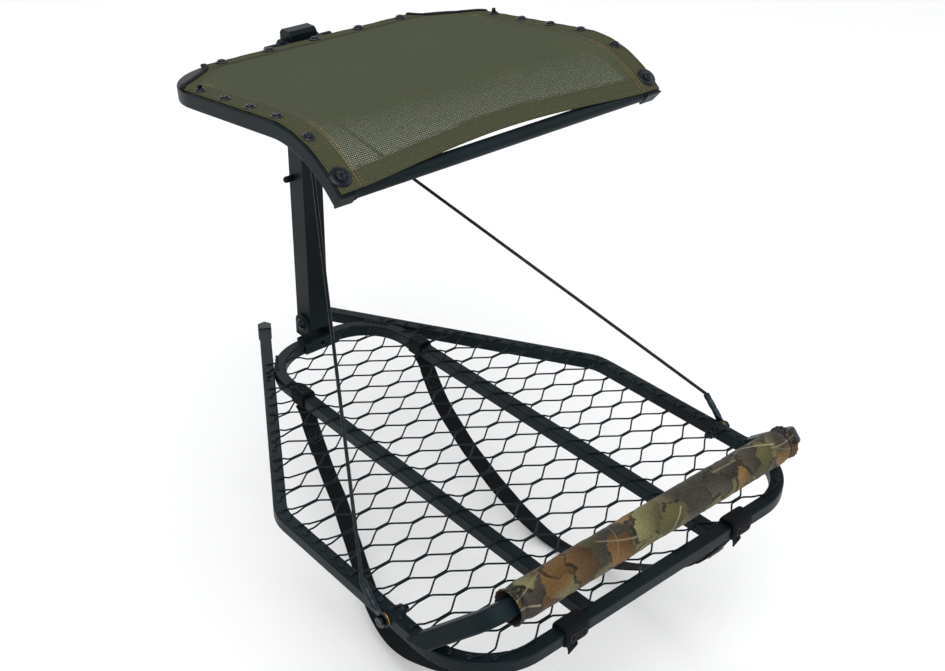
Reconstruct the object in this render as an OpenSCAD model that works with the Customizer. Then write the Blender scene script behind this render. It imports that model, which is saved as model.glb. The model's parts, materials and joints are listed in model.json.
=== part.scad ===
// Hang-on tree stand: folding mesh platform, upright post, flip-up sling seat,
// two stay cables, padded footrest and two shoulder straps.
// Millimetres, +Z up, the front of the stand faces -Y.
// Origin: rear face of the post, level with the fold hinge.

/* [Platform] */
// Half width of the platform between the side tube centre lines
plat_half_w = 292; // [270:1:310]
// Depth from the fold hinge to the front tube centre line
plat_front = 713; // [680:1:740]
// Side of the square platform tube
tube = 18; // [16:1:20]
// Half distance between the two long inner tubes
leg_x = 111.2; // [105:0.1:118]
// Height of the fold hinge above the tube centre line
hinge_rise = 33; // [33:1:36]

/* [Post] */
// Side of the square post
post_w = 35; // [35:1:38]
// Top of the post above the fold hinge
post_top = 430; // [425:1:432]
// Wall of the post
post_wall = 2.5; // [2:0.5:3]

/* [Seat] */
// Half distance between the seat rail centre lines
seat_half_w = 240; // [230:1:250]
// Upward tilt of the seat towards its front
seat_tilt = 5.7; // [4:0.1:7]
// Width of a seat rail
rail_w = 24; // [20:1:26]
// Height of a seat rail
rail_h = 20; // [18:1:22]
// Flat length of the seat rails
rail_flat = 269; // [255:1:275]
// Bend angle of the front of the seat
front_drop = 46; // [40:1:48]

/* [Footrest] */
// Diameter of the footrest tube
foot_d = 22; // [20:1:24]
// Height of the footrest above the fold hinge
foot_z = 48; // [44:1:52]
// Diameter of the padded sleeve
sleeve_d = 43; // [38:1:46]

/* [Cables] */
// Diameter of the coated stay cable
cable_d = 4.6; // [4:0.2:5]

/* [Hidden] */

$fn = 48;
eps = 0.01;
seam = 0.02;
gap = 0.3;
fit_gap = 0.05;

// Frame and platform levels
hinge_y = -post_w / 2;
plat_z = -hinge_rise;
tube_top = plat_z + tube / 2;
tube_r = 2.2;
tube_wall = 1.6;
front_y = hinge_y - plat_front;
tip_x = 48;
tip_y = 52;
bend_y = -355.5;
corner_r = 91;
bend_r = 60;
crest_y = -29.5;
hoop_r = 82;

// Fold hinge
ear_t = 4;
ear_x = post_w / 2 + gap;
ear_r = 16.5;
hinge_r = 5;
saddle_half_w = 32;
saddle_t = 3;
post_bottom = -12;
post_chamfer = 4;

// Pin through the post for the tree strap
strap_pin_y = -8;
strap_pin_z = 245;
strap_pin_r = 5;
strap_pin_core = 4;
strap_pin_out = 28;

// Floor mesh: hexagons with short edges along X and doubled wires there
wire = 3.2;
col_pitch = 42.9;
row_pitch = 19;
short_edge = 21;
col_x = 7.1;
row_y = -288.4;

// Seat: local plane is X right, Y forward = negative, Z normal to the rails
seat_y = -58;
seat_z = 451;
pivot_z = 446;
pivot_r = 8;
drop_r = 150;
rail_end = 16;
rail_wall = 1.8;
seat_corner_r = 88;
cloth = 2.5;
cheek_t = 4;
cheek_half_y = 14;
cheek_bottom = 424;
cheek_top = 470;
web_bottom = 456;

// Footrest
foot_y = -722;
foot_slope = 43.8;
foot_half_w = 262;
foot_leg = 104;
foot_splay = 33;
foot_bend = 30;
foot_r = 4;
sleeve_half = 240;

// Stay cables: side bolt, top bolt and the point where a slack cable folds
side_bolt = [-585, -33];
side_top = [-548, 3];
top_bolt = [-26, 366];
fold_share = 0.38;
cable_x_side = 306.5;
cable_x_top = 25;
sleeve_top = 48;
elbow_gap = 7.5;
bolt_r = 4;
sleeve_r = 4.5;
boss_t = 2;
top_eye_x = post_w / 2 + boss_t + gap;

// Shoulder straps hang under the platform between the two wraps
strap_w = 27;
strap_t = 4;
wrap_y = -147;
front_wrap_x = 147;
left_route = [[113, -164, -64], [114, -185, -101], [117, -215, -137], [123, -250, -168],
    [134, -290, -200], [147, -330, -226], [160, -370, -246], [171, -410, -255],
    [178, -450, -252], [182, -490, -241], [183, -530, -222], [180, -570, -202],
    [172, -608, -180], [161, -640, -158], [149, -668, -132], [141, -690, -104],
    [139, -706, -78], [142, -717, -60]];
right_route = [[113, -164, -64], [114, -185, -101], [117, -215, -137], [122, -250, -169],
    [130, -290, -203], [138, -330, -233], [146, -370, -257], [152, -410, -271],
    [157, -450, -272], [160, -490, -263], [162, -530, -246], [162, -570, -224],
    [160, -608, -198], [156, -640, -170], [151, -668, -143], [147, -690, -118],
    [145, -708, -92], [146, -722, -62]];

steel = [0.12, 0.15, 0.17];
dark = [0.08, 0.09, 0.10];
zinc = [0.62, 0.63, 0.64];
olive = [0.33, 0.35, 0.24];
camo = [0.42, 0.33, 0.20];
webbing = [0.05, 0.05, 0.06];

// ---------- paths and bent tubes ----------

function unit(v) = v / norm(v);
function heading(v) = atan2(v[1], v[0]);
function turn(a, b) = atan2(a[0] * b[1] - a[1] * b[0], a * b);
function trim(p, r, i) = (i == 0 || i == len(p) - 1) ? 0 :
    r[i] * tan(abs(turn(p[i] - p[i - 1], p[i + 1] - p[i])) / 2);

module solid_profile(w, h, r) {
    if (r >= w / 2) circle(w / 2);
    else {
        square([w, h - 2 * r], center = true);
        square([w - 2 * r, h], center = true);
        for (x = [-1, 1], y = [-1, 1])
            translate([x * (w / 2 - r), y * (h / 2 - r)]) circle(r);
    }
}

module tube_profile(w, h, r, wall) {
    difference() {
        solid_profile(w, h, r);
        if (wall > 0) solid_profile(w - 2 * wall, h - 2 * wall, r - wall);
    }
}

module straight_run(a, b) {
    translate([a[0], a[1], 0]) rotate([0, 0, heading(b - a)]) rotate([90, 0, 90])
        linear_extrude(norm(b - a)) children();
}

module corner_run(before, at, after, bend) {
    t = turn(at - before, after - at);
    d = unit(at - before);
    side = t > 0 ? 1 : -1;
    centre = at - d * bend * tan(abs(t) / 2) + [-d[1], d[0]] * bend * side;
    from = heading([d[1], -d[0]] * side);
    translate([centre[0], centre[1], 0]) rotate([0, 0, t > 0 ? from : from + t])
        rotate_extrude(angle = abs(t), $fn = 96) translate([bend, 0]) children();
}

// Runs stop a hair short of a bend that isn't a right angle
function stop_at(p, r, i) = trim(p, r, i)
    + (i == 0 || i == len(p) - 1 ? 0 :
        abs(abs(turn(p[i] - p[i - 1], p[i + 1] - p[i])) - 90) < 0.01 ? 0 : seam);

// Tube along a flat path with a bend radius at each corner; the child is its section
module bent_tube(p, bends) {
    for (i = [0 : len(p) - 2])
        straight_run(p[i] + unit(p[i + 1] - p[i]) * stop_at(p, bends, i),
            p[i + 1] - unit(p[i + 1] - p[i]) * stop_at(p, bends, i + 1)) children();
    for (i = [1 : len(p) - 2])
        corner_run(p[i - 1], p[i], p[i + 1], bends[i]) children();
}

// Cylinder along X from x0 to x1
module rod_x(x0, x1, r) {
    translate([min(x0, x1), 0, 0]) rotate([0, 90, 0]) cylinder(h = abs(x1 - x0), r = r);
}

// Cylinder between two points
module rod(a, b, r) {
    d = b - a;
    translate(a) rotate([0, acos(d[2] / norm(d)), atan2(d[1], d[0])])
        cylinder(h = norm(d), r = r);
}

module hex_x(x0, x1, across) {
    translate([min(x0, x1), 0, 0]) rotate([0, 90, 0])
        cylinder(h = abs(x1 - x0), r = across / sqrt(3), $fn = 6);
}

module both_sides() {
    children();
    mirror([1, 0, 0]) children();
}

// ---------- post ----------

module post_outline() {
    polygon([[0, post_bottom + post_chamfer], [-post_chamfer, post_bottom],
        [-post_w + post_chamfer, post_bottom], [-post_w, post_bottom + post_chamfer],
        [-post_w, post_top], [0, post_top]]);
}

module post_tube() {
    color(steel) difference() {
        translate([-post_w / 2, 0, 0]) rotate([90, 0, 90]) linear_extrude(post_w)
            post_outline();
        translate([-post_w / 2 + post_wall, -post_w + post_wall, post_bottom - 1])
            cube([post_w - 2 * post_wall, post_w - 2 * post_wall, post_top - post_bottom + 2]);
        translate([0, hinge_y, 0]) rod_x(-post_w, post_w, hinge_r + fit_gap);
        translate([0, strap_pin_y, strap_pin_z]) rod_x(-post_w, post_w, strap_pin_core);
    }
}

module strap_pin() {
    color(dark) translate([0, strap_pin_y, strap_pin_z]) {
        rod_x(-post_w / 2, post_w / 2, strap_pin_core);
        both_sides() {
            rod_x(post_w / 2, strap_pin_out, strap_pin_r);
            translate([strap_pin_out, 0, 0]) sphere(strap_pin_r);
        }
    }
}

// Raised seats on the post's sides where the stay cables are bolted
module cable_bosses() {
    color(steel) both_sides() translate([0, top_bolt[0], top_bolt[1]])
        rod_x(post_w / 2, post_w / 2 + boss_t, 7.5);
}

// Inverted channel on top of the post that carries the seat pivot
module seat_bracket() {
    y0 = hinge_y - cheek_half_y;
    y1 = hinge_y + cheek_half_y;
    outer = post_w / 2 + cheek_t;
    cut = 5;
    color(steel) difference() {
        translate([-outer, 0, 0]) rotate([90, 0, 90]) linear_extrude(2 * outer)
            polygon([[y0, cheek_bottom], [y1, cheek_bottom], [y1, cheek_top - cut],
                [y1 - cut, cheek_top], [y0 + cut, cheek_top], [y0, cheek_top - cut]]);
        translate([-post_w / 2, y0 - 1, cheek_bottom - 1])
            cube([post_w, y1 - y0 + 2, web_bottom - cheek_bottom + 1]);
        translate([-post_w / 2, y0 + cheek_t, web_bottom - 1])
            cube([post_w, y1 - y0, cheek_top - cheek_t - web_bottom + 1]);
        translate([0, hinge_y, pivot_z]) rod_x(-outer - 1, outer + 1, pivot_r + fit_gap);
    }
}

// Gusset on the front of the post that the rear seat rail rests on
module seat_stop() {
    half_w = 14;
    color(steel) translate([-half_w, 0, 0]) rotate([90, 0, 90]) linear_extrude(2 * half_w)
        polygon([[-post_w, 439], [-post_w - 33, 439], [-post_w - 33, 434], [-post_w, 396]]);
}

// ---------- platform ----------

frame_path = [[-tip_x, tip_y], [-plat_half_w, bend_y], [-plat_half_w, front_y],
    [plat_half_w, front_y], [plat_half_w, bend_y], [tip_x, tip_y]];
frame_bends = [0, bend_r, corner_r, corner_r, bend_r, 0];

module platform_frame() {
    color(steel) difference() {
        translate([0, 0, plat_z]) bent_tube(frame_path, frame_bends)
            tube_profile(tube, tube, tube_r, tube_wall);
        both_sides() translate([0, side_bolt[0], side_bolt[1]])
            rod_x(plat_half_w - tube, plat_half_w + tube, bolt_r + fit_gap);
    }
}

hoop_front = front_y + tube / 2;
hoop_path = [[-leg_x, hoop_front], [-leg_x, crest_y], [leg_x, crest_y], [leg_x, hoop_front]];

module inner_hoop() {
    color(steel) translate([0, 0, plat_z]) bent_tube(hoop_path, [0, hoop_r, hoop_r, 0])
        tube_profile(tube, tube, tube_r, tube_wall);
}

// Distance from the middle to the side tube's centre line at depth y
function side_x(y) = y > bend_y ? tip_x + (tip_y - y) * (plat_half_w - tip_x) / (tip_y - bend_y)
    : y > front_y + corner_r ? plat_half_w
    : plat_half_w - corner_r + sqrt(max(0, pow(corner_r, 2) - pow(y - front_y - corner_r, 2)));

// Each wire steps between two rows of short edges, row i at columns of parity i
function wire_y(i, c) = abs(c - i) % 2 == 0
    ? row_y + i * row_pitch + wire / 2 + 0.1
    : row_y + (i + 1) * row_pitch - wire / 2 - 0.1;
function wire_mid(i) = row_y + (i + 0.5) * row_pitch;
function wire_line(i, reach) = [
    [-reach, wire_y(i, round((-reach - col_x) / col_pitch))],
    for (c = [ceil((-reach - col_x + short_edge / 2) / col_pitch) :
              floor((reach - col_x - short_edge / 2) / col_pitch)], s = [-1, 1])
        [col_x + c * col_pitch + s * short_edge / 2, wire_y(i, c)],
    [reach, wire_y(i, round((reach - col_x) / col_pitch))]];
// Rows that would meet a footrest leg stop short of it
function beside_leg(y) = abs(y - foot_y - foot_leg * cos(foot_slope)) < foot_d + row_pitch / 2;
function shifted(p, dy) = [for (q = p) [q[0], q[1] + dy]];
function reversed(p) = [for (i = [len(p) - 1 : -1 : 0]) p[i]];

module mesh_floor() {
    color(dark) translate([0, 0, tube_top])
        for (i = [ceil((front_y - row_y) / row_pitch) : floor((crest_y - 30 - row_y) / row_pitch)]) {
            line = wire_line(i, side_x(wire_mid(i)) + (beside_leg(wire_mid(i)) ? -9.5 : 2));
            linear_extrude(wire)
                polygon(concat(shifted(line, -wire / 2), reversed(shifted(line, wire / 2))));
        }
}

// Flared cap with a peaked end on a rear tube end
module tip_cap() {
    d = unit([tip_x - plat_half_w, tip_y - bend_y]);
    skirt = 12;
    peak = 7;
    half = tube / 2 + 1.6;
    translate([tip_x, tip_y, plat_z]) rotate([0, 0, heading(d)]) difference() {
        union() {
            translate([-skirt, -half, -half]) cube([skirt + 2, 2 * half, 2 * half]);
            translate([2, 0, -half]) linear_extrude(2 * half)
                polygon([[0, -half], [peak, 0], [0, half]]);
        }
        translate([-skirt - 1, -tube / 2 - 0.1, -tube / 2 - 0.1])
            cube([skirt + 1, tube + 0.2, tube + 0.2]);
    }
}

module tip_cap_left() { color(dark) mirror([1, 0, 0]) tip_cap(); }
module tip_cap_right() { color(dark) tip_cap(); }

// Saddle over the hoop with two ears beside the post
module hinge_bracket() {
    y0 = crest_y - tube / 2 - saddle_t;
    y1 = crest_y + tube / 2 + saddle_t;
    color(steel) difference() {
        union() {
            difference() {
                translate([-saddle_half_w, y0, plat_z - tube / 2])
                    cube([2 * saddle_half_w, y1 - y0, tube + saddle_t]);
                translate([-saddle_half_w - 1, y0 + saddle_t, plat_z - tube])
                    cube([2 * saddle_half_w + 2, tube, tube * 1.5]);
            }
            both_sides() translate([ear_x, hinge_y, 0]) {
                rod_x(0, ear_t, ear_r);
                translate([0, -ear_r, tube_top + saddle_t - eps])
                    cube([ear_t, 2 * ear_r, -tube_top - saddle_t + eps]);
                translate([0, -ear_r, tube_top])
                    cube([ear_t, y1 - hinge_y + ear_r, saddle_t]);
            }
        }
        translate([0, hinge_y, 0]) rod_x(-ear_x - ear_t - 1, ear_x + ear_t + 1, hinge_r + fit_gap);
        translate([0, y0 - 1, plat_z + 2]) rotate([-90, 0, 0]) cylinder(h = saddle_t + 2, r = 3.5);
    }
}

module hinge_bolt() {
    head = ear_x + ear_t;
    color(dark) translate([0, hinge_y, 0]) {
        rod_x(-head, head + 10, hinge_r);
        rod_x(-head - 1.6, -head, 10);
        rod_x(-head - 6.5, -head - 1.6, 7.5);
    }
}

module hinge_nut() {
    face = ear_x + ear_t;
    color(dark) translate([0, hinge_y, 0]) difference() {
        union() {
            rod_x(face, face + 1.6, 10);
            hex_x(face + 1.6, face + 8.6, 16);
        }
        rod_x(face - 1, face + 10, hinge_r);
    }
}

// ---------- cable fastenings on the platform ----------

tube_out = plat_half_w + tube / 2;
tube_in = plat_half_w - tube / 2;
eye_t = 2.5;
washer_t = 1.6;
eye_x = tube_out + washer_t + gap;
head_x = eye_x + eye_t + gap;

module cable_bolts() {
    color(zinc) both_sides() translate([0, side_bolt[0], side_bolt[1]]) {
        rod_x(tube_in - 14, head_x, bolt_r);
        hex_x(head_x, head_x + 5.3, 13);
    }
}

module cable_bolt_nuts() {
    color(zinc) both_sides() translate([0, side_bolt[0], side_bolt[1]]) difference() {
        hex_x(tube_in - washer_t - 6.5, tube_in - washer_t, 13);
        rod_x(tube_in - 20, tube_in, bolt_r);
    }
}

module cable_bolt_washers() {
    color(zinc) both_sides() translate([0, side_bolt[0], side_bolt[1]]) difference() {
        union() {
            rod_x(tube_out, tube_out + washer_t, 8.5);
            rod_x(tube_in - washer_t, tube_in, 8.5);
        }
        rod_x(tube_in - 20, tube_out + 20, bolt_r);
    }
}

// ---------- stay cables, drawn for the right side ----------

fold_yz = top_bolt + (side_top - top_bolt) * fold_share;
run_yz = norm(side_top - top_bolt);
fold_x = cable_x_top + (cable_x_side - cable_x_top)
    * (run_yz * fold_share - sleeve_top) / (run_yz - sleeve_top);
fold_point = [fold_x, fold_yz[0], fold_yz[1]];
side_end = [cable_x_side, side_top[0], side_top[1]];
top_sleeve_yz = top_bolt + unit(side_top - top_bolt) * sleeve_top;
top_end = [cable_x_top, top_sleeve_yz[0], top_sleeve_yz[1]];

// Flattened eye plate from the eye towards the sleeve, in a plane of constant X
module eye_plate(eye, towards, x0, reach) {
    translate([0, eye[0], eye[1]]) rotate([atan2(towards[1] - eye[1], towards[0] - eye[0]), 0, 0]) {
        rod_x(x0, x0 + eye_t, 9);
        translate([x0, 0, -5]) cube([eye_t, reach, 10]);
    }
}

module lower_terminal() {
    d = unit(side_top - side_bolt);
    start = side_bolt + d * 17;
    difference() {
        union() {
            eye_plate(side_bolt, side_top, eye_x, 24);
            rod([cable_x_side, start[0], start[1]], side_end, sleeve_r);
        }
        translate([0, side_bolt[0], side_bolt[1]]) rod_x(eye_x - 5, eye_x + 8, bolt_r + fit_gap);
        rod(side_end - (fold_point - side_end) * 0.04, fold_point, cable_d / 2);
    }
}

module lower_cable() {
    d = unit(fold_point - side_end);
    rod(side_end - d * 8, fold_point + d * cable_d / 2, cable_d / 2);
}

module upper_terminal() {
    d = unit(side_top - top_bolt);
    start = top_bolt + d * 15;
    difference() {
        union() {
            eye_plate(top_bolt, side_top, top_eye_x, 22);
            rod([cable_x_top, start[0], start[1]], top_end, sleeve_r);
        }
        translate([0, top_bolt[0], top_bolt[1]]) rod_x(top_eye_x - 5, top_eye_x + 5, bolt_r);
        rod(top_end - unit(fold_point - top_end) * 9, fold_point, cable_d / 2);
    }
}

module upper_cable() {
    d = unit(fold_point - top_end);
    rod(top_end - d * 8, fold_point - d * elbow_gap, cable_d / 2);
}

module top_bolt_head() {
    face = top_eye_x + eye_t;
    translate([0, top_bolt[0], top_bolt[1]]) {
        rod_x(top_eye_x, face, bolt_r);
        rod_x(face, face + 1, 8);
        rod_x(face + 1, face + 4, 6.5);
    }
}

module left_side() { mirror([1, 0, 0]) children(); }
module cable_lower_left() { color(dark) left_side() lower_cable(); }
module terminal_lower_left() { color(dark) left_side() lower_terminal(); }
module cable_upper_left() { color(dark) left_side() upper_cable(); }
module terminal_upper_left() { color(dark) left_side() upper_terminal(); }
module top_bolt_left() { color(dark) left_side() top_bolt_head(); }
module cable_lower_right() { color(dark) lower_cable(); }
module terminal_lower_right() { color(dark) lower_terminal(); }
module cable_upper_right() { color(dark) upper_cable(); }
module terminal_upper_right() { color(dark) upper_terminal(); }
module top_bolt_right() { color(dark) top_bolt_head(); }

// ---------- footrest ----------

foot_path = [[-foot_half_w - foot_splay * 1.15, foot_leg * 1.15], [-foot_half_w, 0],
    [foot_half_w, 0], [foot_half_w + foot_splay * 1.15, foot_leg * 1.15]];

module footrest_bar() {
    color(steel) difference() {
        translate([0, foot_y, foot_z]) rotate([-foot_slope, 0, 0])
            bent_tube(foot_path, [0, foot_bend, foot_bend, 0])
            tube_profile(foot_d, foot_d, foot_r, tube_wall);
        translate([-400, foot_y, tube_top - 60]) cube([800, 200, 60]);
    }
}

module footrest_sleeve() {
    half = sleeve_d / 2;
    color(camo) translate([0, foot_y, foot_z]) difference() {
        union() {
            rod_x(-sleeve_half + 8, sleeve_half - 8, half);
            both_sides() rod_x(sleeve_half - 8, sleeve_half, half - 6);
        }
        rotate([-foot_slope, 0, 0]) straight_run([-sleeve_half - 1, 0], [sleeve_half + 1, 0])
            tube_profile(foot_d + 0.4, foot_d + 0.4, foot_r, 0);
    }
}

// ---------- shoulder straps ----------

function along(p, i) = unit(p[min(i + 1, len(p) - 1)] - p[max(i - 1, 0)]);
function ring(p, i) = let (d = along(p, i), n = unit([0, -d[2], d[1]]))
    [for (c = [[-1, -1], [1, -1], [1, 1], [-1, 1]])
        p[i] + [c[0] * strap_w / 2, 0, 0] + n * c[1] * strap_t / 2];

// Flat webbing swept along its route
module strap(route) {
    n = len(route);
    points = [for (i = [0 : n - 1]) each ring(route, i)];
    sides = [for (i = [0 : n - 2], k = [0 : 3])
        [i * 4 + k, i * 4 + (k + 1) % 4, (i + 1) * 4 + (k + 1) % 4, (i + 1) * 4 + k]];
    last = (n - 1) * 4;
    polyhedron(points, concat([[3, 2, 1, 0]], sides, [[last, last + 1, last + 2, last + 3]]));
}

module strap_left() { color(webbing) mirror([1, 0, 0]) strap(left_route); }
module strap_right() { color(webbing) strap(right_route); }

// Webbing round a tube: a channel under the floor wires and a strip over them
module wrap(along_x, width) {
    outer = tube + 6;
    inner = tube + 0.6;
    turn_z = along_x ? 90 : 0;
    rotate([0, 0, turn_z]) {
        difference() {
            translate([-outer / 2, -width / 2, -outer / 2])
                cube([outer, width, outer / 2 + tube / 2 - 0.1]);
            translate([-inner / 2, -width, -inner / 2]) cube([inner, 2 * width, outer]);
        }
        translate([-outer / 2, -width / 2, tube / 2 + wire + 0.1]) cube([outer, width, 3]);
    }
}

module rear_wraps() {
    color(webbing) both_sides() translate([leg_x, wrap_y, plat_z]) wrap(false, 30);
}

module front_wraps() {
    color(webbing) both_sides() translate([front_wrap_x, front_y, plat_z]) wrap(true, 38);
}

// Short webbing tabs that join each wrap to its shoulder strap
module tab(a, b) {
    d = unit(b - a);
    n = unit([0, -d[2], d[1]]) * strap_t / 2;
    w = [strap_w / 2, 0, 0];
    polyhedron([a - w - n, a + w - n, a + w + n, a - w + n,
        b - w - n, b + w - n, b + w + n, b - w + n],
        [[3, 2, 1, 0], [0, 1, 5, 4], [1, 2, 6, 5], [2, 3, 7, 6], [3, 0, 4, 7], [4, 5, 6, 7]]);
}

module tabs(route) {
    first = route[0];
    last = route[len(route) - 1];
    low = plat_z - tube / 2 - 5;
    tab([leg_x, wrap_y - 5, low], first + unit(first - route[1]) * 1);
    tab(last + unit(last - route[len(route) - 2]) * 1, [front_wrap_x, front_y + 3, low]);
}

module strap_keepers() {
    color(webbing) {
        tabs(right_route);
        mirror([1, 0, 0]) tabs(left_route);
    }
}

// ---------- seat ----------

module seat_place() {
    translate([0, seat_y, seat_z]) rotate([-seat_tilt, 0, 0]) children();
}

// Runs down the front of the seat: the child is the section, its X pointing up
module rail_curve() {
    translate([0, -rail_flat, -drop_r]) mirror([0, 1, 0]) rotate([0, -90, 0])
        rotate_extrude(angle = front_drop, $fn = 96) translate([drop_r, 0]) children();
}

module rail_tail(length) {
    translate([0, -rail_flat, -drop_r]) rotate([front_drop, 0, 0]) translate([0, 0, drop_r])
        rotate([90, 0, 0]) linear_extrude(length) children();
}

seat_path = [[seat_half_w, -rail_flat], [seat_half_w, 0], [-seat_half_w, 0],
    [-seat_half_w, -rail_flat]];
seat_bends = [0, seat_corner_r, seat_corner_r, 0];
rail_r = 2.4;

function side_screw_y(i) = -100 - 56 * i;
rear_pitch = 74.7;
side_count = 4;
lip_angles = [21.5, 44];
screw_r = 2.4;

// Places children at each ordinary screw, Z out of the cloth; lip = the bent front
module at_side_screws() {
    both_sides() {
        for (i = [1 : side_count - 1]) translate([seat_half_w, side_screw_y(i), 0]) children();
        at_lip(lip_angles[0]) children();
    }
}

module at_lip(angle) {
    translate([seat_half_w, -rail_flat, -drop_r]) rotate([angle, 0, 0])
        translate([0, 0, drop_r]) children();
}

module at_rear_screws() {
    for (i = [-2 : 2]) translate([i * rear_pitch, 0, 0]) children();
}

module all_screw_holes(r) {
    at_side_screws() translate([0, 0, rail_h / 2 - 6]) cylinder(h = 12, r = r);
    at_rear_screws() translate([0, 0, rail_h / 2 - 6]) cylinder(h = 12, r = r);
    both_sides() {
        translate([seat_half_w, side_screw_y(0), rail_h / 2 - 6]) cylinder(h = 12, r = r);
        at_lip(lip_angles[1]) translate([0, 0, rail_h / 2 - 6]) cylinder(h = 12, r = r);
    }
}

module seat_frame() {
    color(steel) seat_place() difference() {
        union() {
            bent_tube(seat_path, seat_bends) tube_profile(rail_w, rail_h, rail_r, rail_wall);
            both_sides() translate([seat_half_w, 0, 0]) {
                rail_curve() tube_profile(rail_h, rail_w, rail_r, rail_wall);
                rail_tail(rail_end) tube_profile(rail_w, rail_h, rail_r, rail_wall);
            }
        }
        all_screw_holes(screw_r);
    }
}

module seat_end_plates() {
    color(steel) seat_place() both_sides() translate([seat_half_w, 0, 0])
        translate([0, -rail_flat, -drop_r]) rotate([front_drop, 0, 0])
        translate([-rail_w / 2, -rail_end - 2, drop_r - rail_h / 2]) cube([rail_w, 2, rail_h]);
}

crossbar_r = 9;

module seat_crossbar() {
    color(steel) seat_place() translate([0, -rail_flat, -drop_r]) rotate([front_drop, 0, 0])
        translate([0, -crossbar_r, drop_r])
        rod_x(-seat_half_w + rail_w / 2, seat_half_w - rail_w / 2, crossbar_r);
}

pivot_half = 52;

module seat_pivot_tube() {
    color(steel) translate([0, hinge_y, pivot_z]) difference() {
        rod_x(-pivot_half, pivot_half, pivot_r);
        rod_x(-pivot_half - 1, pivot_half + 1, pivot_r - 2);
    }
}

module seat_pivot_plugs() {
    color(dark) translate([0, hinge_y, pivot_z]) both_sides() {
        rod_x(pivot_half - 10, pivot_half, pivot_r - 2);
        rod_x(pivot_half, pivot_half + 2, pivot_r);
    }
}

// Plates that join the pivot tube to the rear rail
module seat_hinge_arms() {
    arm_t = 6;
    arm_x = post_w / 2 + cheek_t + 2.5;
    color(steel) both_sides() difference() {
        union() {
            translate([0, hinge_y, pivot_z]) rod_x(arm_x, arm_x + arm_t, 13);
            translate([arm_x, seat_y, pivot_z - 5]) cube([arm_t, hinge_y - seat_y, 16]);
        }
        translate([0, hinge_y, pivot_z]) rod_x(arm_x - 1, arm_x + arm_t + 1, pivot_r);
        seat_place() translate([0, -rail_w / 2, -rail_h]) cube([60, rail_w, 2 * rail_h]);
    }
}

cloth_z = rail_h / 2;
cloth_half = 250;
notch_in = [178, -2];
notch_mid = [210, -32];
notch_out = [247, -64];

module cloth_outline() {
    polygon([[-174, 10], [174, 10], notch_in, notch_mid, notch_out, [cloth_half, -70],
        [cloth_half, -rail_flat], [-cloth_half, -rail_flat], [-cloth_half, -70],
        [-notch_out[0], notch_out[1]], [-notch_mid[0], notch_mid[1]],
        [-notch_in[0], notch_in[1]]]);
}

module seat_fabric() {
    color(olive) seat_place() difference() {
        union() {
            translate([0, 0, cloth_z]) linear_extrude(cloth) cloth_outline();
            rail_curve() translate([cloth_z, -cloth_half]) square([cloth, 2 * cloth_half]);
        }
        all_screw_holes(screw_r);
    }
}

// Bound edge of the cloth at each rear corner
module binding_run(a, b) {
    d = b - a;
    translate([a[0], a[1], 0]) rotate([0, 0, heading(d)]) translate([0, 0, cloth_z + cloth])
        cube([norm(d), 7, 1.2]);
}

module corner_bindings() {
    color(webbing) seat_place() both_sides() {
        binding_run(notch_mid, notch_in);
        binding_run(notch_out, notch_mid);
    }
}

// Domed washer and screw; Z = 0 is the middle of the rail
top_z = cloth_z + cloth;

module washer(r, t) {
    translate([0, 0, top_z]) difference() {
        cylinder(h = t, r = r);
        translate([0, 0, -1]) cylinder(h = t + 2, r = screw_r);
    }
}

module screw(head_r, head_h, lift) {
    translate([0, 0, cloth_z - 6]) cylinder(h = 6 + cloth + lift, r = screw_r);
    translate([0, 0, top_z + lift]) cylinder(h = head_h, r = head_r);
}

module seat_washers() {
    color(zinc) seat_place() {
        at_side_screws() washer(8, 1.2);
        at_rear_screws() washer(8, 1.2);
        both_sides() translate([seat_half_w, side_screw_y(0), 0]) washer(8.5, 1.2);
    }
}

module seat_screws() {
    color(dark) seat_place() {
        at_side_screws() screw(5.5, 2.4, 1.2);
        at_rear_screws() screw(5.5, 2.4, 1.2);
    }
}

module rear_post_screws() {
    color(dark) seat_place() both_sides() translate([seat_half_w, side_screw_y(0), 0]) {
        screw(5.5, 2.4, 1.2);
        translate([0, 0, top_z + 3.6]) cylinder(h = 5, r = 3.2);
    }
}

module lip_washers() {
    color(dark) seat_place() both_sides() at_lip(lip_angles[1]) washer(13, 1.6);
}

module lip_screws() {
    color(dark) seat_place() both_sides() at_lip(lip_angles[1]) screw(6, 3.2, 1.6);
}

// ---------- drawing ----------

post_tube();
cable_bosses();
strap_pin();
seat_bracket();
seat_stop();
platform_frame();
inner_hoop();
mesh_floor();
tip_cap_left();
tip_cap_right();
hinge_bracket();
hinge_bolt();
hinge_nut();
cable_bolts();
cable_bolt_nuts();
cable_bolt_washers();
footrest_bar();
footrest_sleeve();
strap_left();
strap_right();
rear_wraps();
front_wraps();
strap_keepers();
seat_frame();
seat_end_plates();
seat_crossbar();
seat_pivot_tube();
seat_hinge_arms();
seat_pivot_plugs();
seat_fabric();
corner_bindings();
seat_screws();
seat_washers();
rear_post_screws();
lip_washers();
lip_screws();
cable_lower_left();
terminal_lower_left();
cable_upper_left();
terminal_upper_left();
top_bolt_left();
cable_lower_right();
terminal_lower_right();
cable_upper_right();
terminal_upper_right();
top_bolt_right();
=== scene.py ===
import json
import math
import random

import bpy
import numpy as np
from mathutils import Matrix, Vector, noise


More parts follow.
